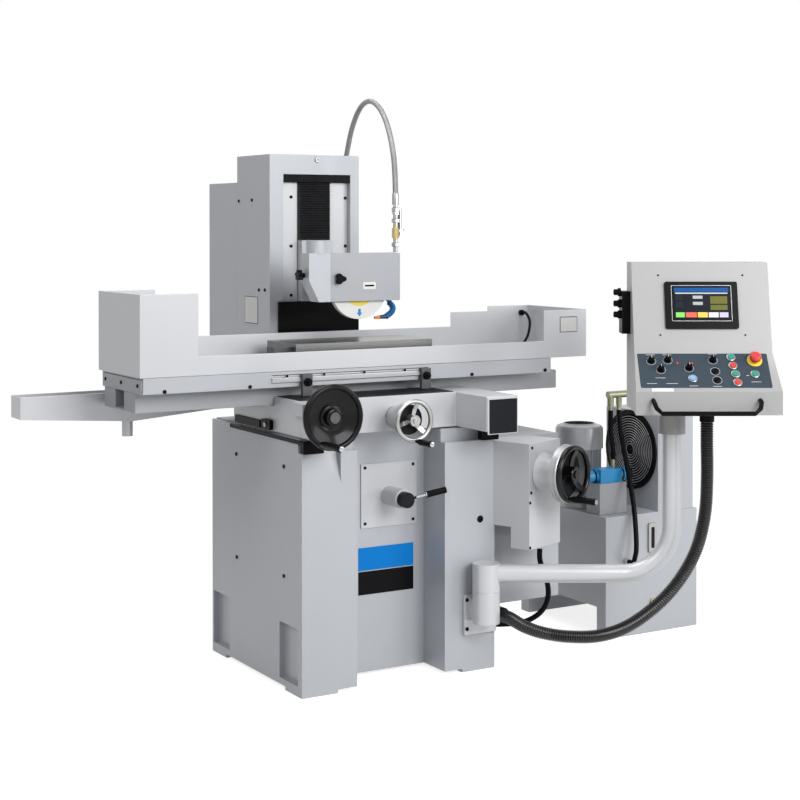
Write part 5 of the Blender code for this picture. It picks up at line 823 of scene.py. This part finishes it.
def console():
    """What the operator sees on the pendant: screen, key sheet, button rims and lamps."""
    def world(across, deep, z):
        return PENDANT_AT + TURN @ Vector((across, deep, z - PENDANT_AT.z))

    low_z = 0.828
    top, bend, lip = low_z + 0.4505, low_z + 0.1808, low_z + 0.07
    upper = Vector((0, -0.1, bend))
    rise = Vector((0, -0.03, top)) - upper
    face_out = (TURN @ Vector((0, -rise.z, rise.y))).normalized()
    face_up = TURN @ rise

    def on_face(across, z, proud=0.0):
        spot = upper + rise * ((z - upper.z) / rise.z)
        return world(across, spot.y, spot.z) + face_out * proud

    bezel, middle = finish("bezel_black", BLACK), 0.078
    for name, z, proud, width, height, thick, look, corner in (
        ("screen_bezel", 1.1475, 0.0, 0.222, 0.146, 0.008, bezel, 0.006),
        ("bezel_line", 1.153, 0.008, 0.184, 0.112, 0.0003, finish("rim_grey", WIRE), 0.004),
        ("bezel_inner", 1.153, 0.0083, 0.181, 0.109, 0.0003, bezel, 0.003),
        ("screen_glass", 1.153, 0.0087, 0.166, 0.096, 0.0008, screen_material(), 0.002),
    ):
        at = on_face(middle, z, proud)
        plate(name, at, face_out, width, height, thick, look, "pendant", corner, face_up)

    down = Vector((0, -0.2, lip)) - upper
    key_out = (TURN @ Vector((0, down.z, -down.y))).normalized()
    key_up = TURN @ Vector((0, -down.y, -down.z))

    def on_keys(across, share, proud=0.001):
        return world(across, upper.y + down.y * share, bend + down.z * share) + key_out * proud

    def on_sheet(name, profile, spots, look, sides=24, ring_shaped=False):
        """One piece of turned shapes that stand on the key sheet at (across, share down)."""
        places = [frame_at(on_keys(*spot), key_out) for spot in spots]
        turned_piece(name, profile, places, look, "pendant", sides, 40, ring_shaped)

    sheet = finish("key_sheet", TEAL)
    at = on_keys(0.072, 0.475, 0)
    plate("key_panel", at, key_out, 0.392, 0.128, 0.001, sheet, "pendant", 0.004, key_up)
    marks = bmesh.new()
    for across, share, width in (
        (-0.084, 0.08, 0.026), (-0.034, 0.08, 0.026), (0.104, 0.06, 0.026), (-0.062, 0.66, 0.03),
        (-0.09, 0.8, 0.03), (-0.03, 0.8, 0.034), (0.034, 0.86, 0.026), (0.104, 0.87, 0.026),
        (0.222, 0.76, 0.03), (0.2, 0.6, 0.01),
    ):
        slab(marks, frame_at(on_keys(across, share), key_out, key_up), width, 0.0014, 0.0001, 0.0003, 0.0001)
    rim_pale = finish("rim_pale", WHITE)
    piece("key_marks", marks, rim_pale, "pendant")
    blanks = ((0.104, 0.5), (0.106, 0.72))
    buttons = ((0.158, 0.15), (0.16, 0.36), (0.164, 0.57), (0.166, 0.78), (0.222, 0.57), (0.034, 0.68))
    dials = (*blanks, (0.027, 0.42), (0.102, 0.22), (-0.084, 0.24), (-0.034, 0.22), (-0.058, 0.46))
    button_rim = [(0.0102, 0), (0.0135, 0), (0.0135, 0.003), (0.0125, 0.0036), (0.0102, 0.0036)]
    on_sheet("button_rims", button_rim, buttons, finish("button_rim", STEEL), 24, True)
    dial_rim = [(0.0138, 0), (0.0146, 0), (0.0146, 0.0004), (0.0138, 0.0004)]
    on_sheet("dial_rims", dial_rim, dials, rim_pale, 24, True)
    collar = [(0.0105, 0), (0.023, 0), (0.023, 0.0012), (0.0222, 0.0018), (0.0105, 0.0018)]
    on_sheet("estop_collar", collar, ((0.228, 0.22),), finish("stop_yellow", YELLOW), 32, True)
    on_sheet("blank_plugs", [(0.01, 0), (0.01, 0.004), (0.0085, 0.005), (0, 0.005)], blanks, MOULDED)
    at = on_keys(-0.06, 0.955, 0.0004)
    plate("lip_plate", at, key_out, 0.066, 0.013, 0.0006, PLATE_PALE, "pendant", 0.0005, key_up)
    dial = [(0.013, 0), (0.013, 0.008), (0.0095, 0.01), (0.0095, 0.02), (0.007, 0.022), (0, 0.022)]
    places = [frame_at(world(-0.1571, 0.016, z), TURN @ Vector(LEFT)) for z in (1.185, 1.15, 1.116)]
    turned_piece("handset_dials", dial, places, MOULDED, "pendant", 20)
    lamp = [(0.0035, 0), (0.0035, 0.002), (0.002, 0.0035), (0, 0.0038)]
    on_sheet("pilot_lamps", lamp, ((-0.006, 0.3), (0.038, 0.3)), finish("lamp_red", RED), 16)
    places = [(on_face(a, z), face_out) for a in (-0.05, 0.208) for z in (1.239, 1.059)]
    screws("console_screws", places, 0.003, SCREW_DARK, "pendant")


def controls():
    """Finishes of the pendant's buttons and knobs, and a pointer line on each knob."""
    green = finish("button_green", GREEN, coat=0.4)
    red = finish("button_red", RED, coat=0.4)
    looks = {
        "estop_button": red, "green_button_1": green, "green_button_2": green, "green_button_3": green,
        "red_button_1": red, "red_button_2": red, "lit_button": finish("button_clear", LIT, coat=0.5),
        **dict.fromkeys(KNOBS, MOULDED),
    }
    for name, look in looks.items():
        frame["nodes"][name].material_slots[0].material = look
    key_out = -Vector(JOINTS["estop_button_press"]["axis"])
    places = []
    for name in KNOBS:
        centre = centre_of(name)
        spread = (centre - Vector(JOINTS[f"{name}_turn"]["pos_m"])).dot(key_out)
        places.append(frame_at(centre - key_out * abs(spread), key_out))
    ring = [(0.0125, -0.003), (0.0165, -0.003), (0.0165, -0.001), (0.0125, -0.001)]
    turned_piece("knob_bases", ring, places, finish("button_rim", STEEL), "pendant", 24, 40, True)
    for name in KNOBS:
        place = frame_at(centre_of(name) + key_out * 0.0078, key_out, TURN @ Vector((0, 1, 0)))
        bm = bmesh.new()
        slab(bm, place, 0.006, 0.019, 0.006, 0.0015)
        piece(f"{name}_bar", bm, MOULDED, name)
        bm = bmesh.new()
        slab(bm, place @ Matrix.Translation((0, 0.004, 0.0058)), 0.0014, 0.009, 0.0006, 0.0004, 0.0002)
        piece(f"{name}_mark", bm, finish("mark_white", WHITE), name)


def hydraulic_details():
    """Solenoid ends, sight gauge, drain plug, and the pump motor's fins and cowl."""
    bm = bmesh.new()
    for x0, x1 in ((1.1, 1.112), (1.136, 1.142), (1.254, 1.26), (1.284, 1.294)):
        disc = [(0, 0), (0.0225, 0), (0.0225, x1 - x0), (0, x1 - x0)]
        lathe(bm, disc, frame_at((x0, 0.1175, 0.538), (1, 0, 0)), 24)
    piece("solenoid_ends", bm, MOULDED, "base", 40)
    face, gauge_x = 0.035, 1.3275
    steel, glass = finish("gauge_frame", STEEL), finish("gauge_glass", DARK)
    plate("gauge_body", (gauge_x, face, 0.326), FRONT, 0.034, 0.1, 0.008, steel, "base", 0.006)
    plate("gauge_window", (gauge_x, face - 0.008, 0.326), FRONT, 0.014, 0.072, 0.001, glass, "base", 0.004)
    plug = [(0.012, 0), (0.012, 0.006), (0.009, 0.008), (0.009, 0.014), (0, 0.014)]
    brass = finish("plug_brass", BRASS)
    turned_piece("drain_plug", plug, frame_at((1.331, face, 0.105), FRONT), brass, "base", 6, None)

    low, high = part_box("pump_motor")
    x, y = (low.x + high.x) / 2, (low.y + high.y) / 2
    radius = (high.x - low.x) / 2
    bm = bmesh.new()
    for cos, sin in circle(1, 40):
        at = (x + cos * (radius - 0.0005), y + sin * (radius - 0.0005), low.z + 0.115)
        slab(bm, frame_at(at, (cos, sin, 0)), 0.0022, 0.19, 0.0065, 0.0005, 0.0003)
    piece("motor_fins", bm, finish("motor_fin_paint", PALE), "base")
    cowl = radius + 0.012
    profile = [
        (radius - 0.004, -0.078), (cowl, -0.074), (cowl, -0.006), (cowl - 0.006, 0.004),
        (0.052, 0.012), (0, 0.012),
    ]
    place = frame_at((x, y, high.z - 0.012), UP)
    turned_piece("motor_cowl", profile, place, finish("motor_paint", PALE), "base", 48, 38)
    # the dark discs on the cowl's top are painted shade, standing for its holes
    top = frame_at((x, y, high.z), UP)
    spots = [spot for ring, count in ((0.018, 8), (0.03, 14), (0.042, 20)) for spot in circle(ring, count)]
    places = [top @ Matrix.Translation((*spot, 0)) for spot in spots]
    hole = [(0.0034, 0), (0.0034, 0.0006), (0, 0.0006)]
    turned_piece("cowl_hole_shades", hole, places, finish("hole_shade_dark", DARK), "base", 8, None)


def wheel_place(joint):
    """A frame at a turning joint, looking along its axis."""
    return frame_at(Vector(JOINTS[joint]["pos_m"]), Vector(JOINTS[joint]["axis"]))


def web(bm, place, radius, tube_r, dish, hub):
    """A dished disc between a handwheel's rim and its hub."""
    rim_in = radius - 1.2 * tube_r
    lathe(bm, [
        (0, -dish - 0.004), (hub, -dish - 0.004), (hub, -dish), (radius - 1.6 * tube_r, -0.004),
        (rim_in, -0.002), (rim_in, 0.003), (radius - 1.9 * tube_r, 0.001), (0.6 * radius, -dish * 0.55),
        (hub * 1.35, -dish * 0.92), (hub * 1.2, -dish * 0.8), (hub, -dish * 0.75), (hub, 0.01),
        (hub * 0.9, 0.012), (hub * 0.72, 0.012), (hub * 0.7, 0.009), (hub * 0.45, 0.009),
        (hub * 0.43, 0.012), (0, 0.012),
    ], place, 56)


def spokes(bm, place, radius, tube_r, dish, hub):
    """A hub and three bent spokes out to a handwheel's rim."""
    lathe(bm, [
        (0, -dish - 0.01), (hub, -dish - 0.01), (hub, 0.008), (hub * 0.9, 0.01), (hub * 0.5, 0.01),
        (hub * 0.48, 0.014), (0, 0.014),
    ], place, 32)
    inner, outer = hub * 0.8, radius - 1.2 * tube_r
    path = [(inner, -dish * 0.9), (inner + (outer - inner) * 0.45, -dish * 0.8), (outer, 0.0)]
    for k in range(3):
        turn = place @ Matrix.Rotation(2 * math.pi * k / 3 + math.radians(75), 4, "Z")
        for ends in zip(path, path[1:]):
            corners = [
                bm.verts.new(turn @ Vector((x, y, z + lift))) for x, z in ends
                for y in (-0.1 * radius, 0.1 * radius) for lift in (-0.035 * radius, 0.035 * radius)
            ]
            for quad in ((0, 1, 3, 2), (4, 6, 7, 5), (0, 4, 5, 1), (2, 3, 7, 6), (0, 2, 6, 4), (1, 5, 7, 3)):
                bm.faces.new([corners[q] for q in quad])


def handwheel(name, cad, radius, tube_r, dish, look, middle):
    """A dished handwheel with a round rim, whose middle is a web or spokes."""
    place = wheel_place(f"{cad}_turn")
    bm = bmesh.new()
    rim = [(radius - tube_r + tube_r * x, tube_r * 1.15 * y) for x, y in circle(1, 12)]
    lathe(bm, rim, place, 56, True)
    middle(bm, place, radius, tube_r, dish, 0.27 * radius)
    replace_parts(piece(name, bm, look, cad, 38), cad)
    return place


def graduate(name, place, radius, height, ticks, body):
    """Engraved lines round a dial's edge, without figures."""
    bm = bmesh.new()
    turn = place.to_3x3()
    for x, y in circle(1, ticks):
        out = Vector((x, y, 0))
        at = place @ (out * radius + Vector((0, 0, height)))
        slab(bm, frame_at(at, turn @ out, turn @ Vector(UP)), 0.0007, 0.008, 0.0002, 0.0003, 0.0001)
    piece(name, bm, finish("tick_dark", DARK), body)


def handwheels():
    """The three handwheels, with dials behind them and caps on their grips' ends."""
    black = finish("wheel_black", BLACK, coat=0.22)
    body = "table_handwheel"
    place = handwheel("table_wheel_dished", body, 0.0975, 0.0085, 0.012, black, web)
    nut = [(0, 0.0118), (0.0165, 0.0118), (0.0165, 0.0136), (0.012, 0.0136), (0.0115, 0.0128), (0, 0.0128)]
    turned_piece("table_wheel_nut", nut, place, finish("nut_worn", WORN), body, 32, 38)

    body = "cross_handwheel"
    place = handwheel("cross_wheel_spoked", body, 0.0655, 0.007, 0.016, finish("wheel_steel", STEEL), spokes)
    drum = [
        (0, -0.106), (0.036, -0.106), (0.04, -0.06), (0.048, -0.056), (0.048, -0.034), (0.046, -0.032),
        (0.02, -0.03), (0, -0.03),
    ]
    turned_piece("cross_feed_drum", drum, place, DIAL_ALU, body, 56, 38)
    graduate("cross_feed_drum_ticks", place, 0.048, -0.04, 60, body)
    # a dark disc behind the spokes is painted shade: the shaded inside of the wheel's dish
    face = [(0, -0.03), (0.0455, -0.03), (0.0455, -0.029), (0, -0.029)]
    turned_piece("cross_wheel_shade_disc", face, place, finish("wheel_shade_dark", DARK), body, 40, 38)

    body = "elevating_handwheel"
    black = finish("raise_wheel_black", BLACK, coat=0.4)
    place = handwheel("raise_wheel_spoked", body, 0.0915, 0.008, 0.016, black, spokes)
    band = [(0.078, -0.034), (0.0905, -0.034), (0.0905, -0.01), (0.0885, -0.008), (0.08, -0.008)]
    turned_piece("raise_band", band, place, DIAL_ALU, body, 56, 38, True)
    graduate("raise_band_ticks", place, 0.0905, -0.017, 80, body)
    disc = [(0, -0.034), (0.079, -0.034), (0.079, -0.028), (0, -0.028)]
    turned_piece("raise_drum", disc, place, finish("drum_dark", DARK), body, 56, 38)

    cap = [(0.0075, 0), (0.0075, 0.001), (0.005, 0.0016), (0, 0.0016)]
    for grip in GRIPS:
        joint = JOINTS[grip.replace("handwheel_grip", "grip_turn")]
        axis, pos = Vector(joint["axis"]), Vector(joint["pos_m"])
        far = max((Vector(v.co) - pos).dot(axis) for v in frame["nodes"][grip].data.vertices)
        turned_piece(f"{grip}_cap", cap, frame_at(pos + axis * far, axis), finish("grip_cap", CHROME), grip)


def small_fittings():
    """Pipe nuts, the gearbox's cast boss, the fan guard's wires, the dogs' knobs and some plates."""
    pipe = Vector((0.437, 0.2474, 0))
    nut = [(0.012, 0), (0.0145, 0.0015), (0.0145, 0.0125), (0.012, 0.014)]
    ferrule = [(0.0108, 0), (0.0108, 0.034), (0.0098, 0.037), (0.0093, 0.037)]
    bm = bmesh.new()
    for profile, z, sides in ((nut, 1.322, 6), (nut, 1.4, 6), (nut, 1.436, 6), (ferrule, 1.459, 24)):
        lathe(bm, profile, Matrix.Translation((pipe.x, pipe.y, z)), sides)
    piece("valve_nuts", bm, finish("nut_steel", STEEL), "wheelhead", 35)
    boss = [(0.062, 0), (0.058, 0.006), (0.046, 0.03), (0.04, 0.05), (0.03, 0.052)]
    place = wheel_place("elevating_handwheel_turn") @ Matrix.Translation((0, 0, -0.1085))
    turned_piece("raise_boss", boss, place, finish("boss_paint", PALE), "base", 40)

    _, fan_y, fan_z = JOINTS["cooler_fan_spin"]["pos_m"]
    face, wire_r = 1.356, 0.0014
    bm = bmesh.new()
    for k in range(13):
        radius = 0.02 + 0.0087 * k
        ring = [(radius + x, y) for x, y in circle(wire_r, 5)]
        dome = face - 0.004 * math.cos(radius / 0.138 * 1.5)
        lathe(bm, ring, frame_at((dome, fan_y, fan_z), LEFT), 44, True)
    piece("fan_wires", bm, finish("wire_grey", WIRE), "base", 80)

    knob = [(0.0125, 0), (0.0125, 0.008), (0.011, 0.01), (0.006, 0.01), (0.006, 0.017), (0, 0.017)]
    for side in ("left", "right"):
        low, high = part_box(f"trip_dog_{side}")
        place = frame_at(((low.x + high.x) / 2, low.y, low.z + 0.042), FRONT)
        turned_piece(f"dog_knob_{side}", knob, place, MOULDED, f"trip_dog_{side}", 16)
    x, z, body = 0.309, 1.2005, "guard_cover"
    plate("guard_label", (x, 0.1929, z), FRONT, 0.046, 0.022, 0.0006, PLATE_PALE, body, 0.001)
    plate("guard_label_bar", (x, 0.1923, z), FRONT, 0.034, 0.006, 0.0002, SCREW_DARK, body, 0.002)
    grey, end_x, z, body = finish("wiper_grey", CASTING), -0.5034, 0.93, "table"
    plate("table_end_plate_left", (end_x, 0.236, z), LEFT, 0.31, 0.036, 0.004, grey, body, 0.003)
    places = [((end_x - 0.004, y, z), LEFT) for y in (0.105, 0.236, 0.365)]
    screws("table_end_screws", places, 0.0055, SCREW_DARK, body)


# ---- studio
FLOOR_REACH, FLOOR_Z, FLOOR_GREY = 14.0, -0.0005, 0.5
FLOOR_SEEN = 0.8  # what the floor adds of its own for rays from the camera and in reflections
ROOM_LIGHT = 0.24  # the world's light on the object, where a background of 1 is white


def seen_rays(tree):
    """1 for rays from the camera, in reflections and through glass, and 0 for light on the object."""
    path = node_of(tree, "ShaderNodeLightPath").outputs
    seen = maths(tree, "MAXIMUM", path["Is Camera Ray"], path["Is Glossy Ray"])
    return maths(tree, "MAXIMUM", seen, path["Is Transmission Ray"])


def floor_and_world():
    """A plain pale floor that keeps the object's shadow, under a white background."""
    floor, tree, shader = new_material("floor")
    glow = maths(tree, "MULTIPLY", seen_rays(tree), FLOOR_SEEN)
    fill(tree, shader, {
        "Base Color": (FLOOR_GREY, FLOOR_GREY, FLOOR_GREY, 1), "Roughness": 0.85,
        "Emission Color": (1, 1, 1, 1), "Emission Strength": glow,
    })
    bm = bmesh.new()
    corners = ((-1, -1), (1, -1), (1, 1), (-1, 1))
    bm.faces.new([bm.verts.new((x * FLOOR_REACH, y * FLOOR_REACH, FLOOR_Z)) for x, y in corners])
    piece("studio_floor", bm, floor)

    world = bpy.data.worlds.new("studio")
    bpy.context.scene.world = world
    world.use_nodes = True
    tree = world.node_tree
    back = next(n for n in tree.nodes if n.type == "BACKGROUND")
    extra = maths(tree, "MULTIPLY", seen_rays(tree), 1 - ROOM_LIGHT)
    fill(tree, back, {"Color": (1, 1, 1, 1), "Strength": maths(tree, "ADD", extra, ROOM_LIGHT)})


def lights():
    """Four soft square lamps: where each is, what it faces, its width and its power."""
    for name, at, aim, width, power in (
        ("key", (0.9, -4.4, 2.9), (0.35, 0.2, 0.75), 2.2, 165),
        ("side", (3.6, -3.6, 1.9), (0.9, 0.0, 0.5), 2.0, 62),
        ("fill", (-3.2, -1.0, 4.0), (0.2, 0.2, 1.0), 2.0, 50),
        ("top", (0.3, 0.9, 4.2), (0.3, 0.3, 0.8), 2.4, 70),
    ):
        data = having(bpy.data.lights.new(name, "AREA"), shape="SQUARE", size=width, energy=power)
        turn = (Vector(aim) - Vector(at)).to_track_quat("-Z", "Y").to_euler()
        new_object(name, data, location=at, rotation_euler=turn)


make_camera()
make_cords()
dress_nodes()
bellows()
wheel_details()
nozzle_segments()
badges()
lever_blade()
way_caps()
all_screws()
console()
controls()
hydraulic_details()
handwheels()
small_fittings()
floor_and_world()
lights()
bpy.context.scene.view_settings.view_transform = "Standard"
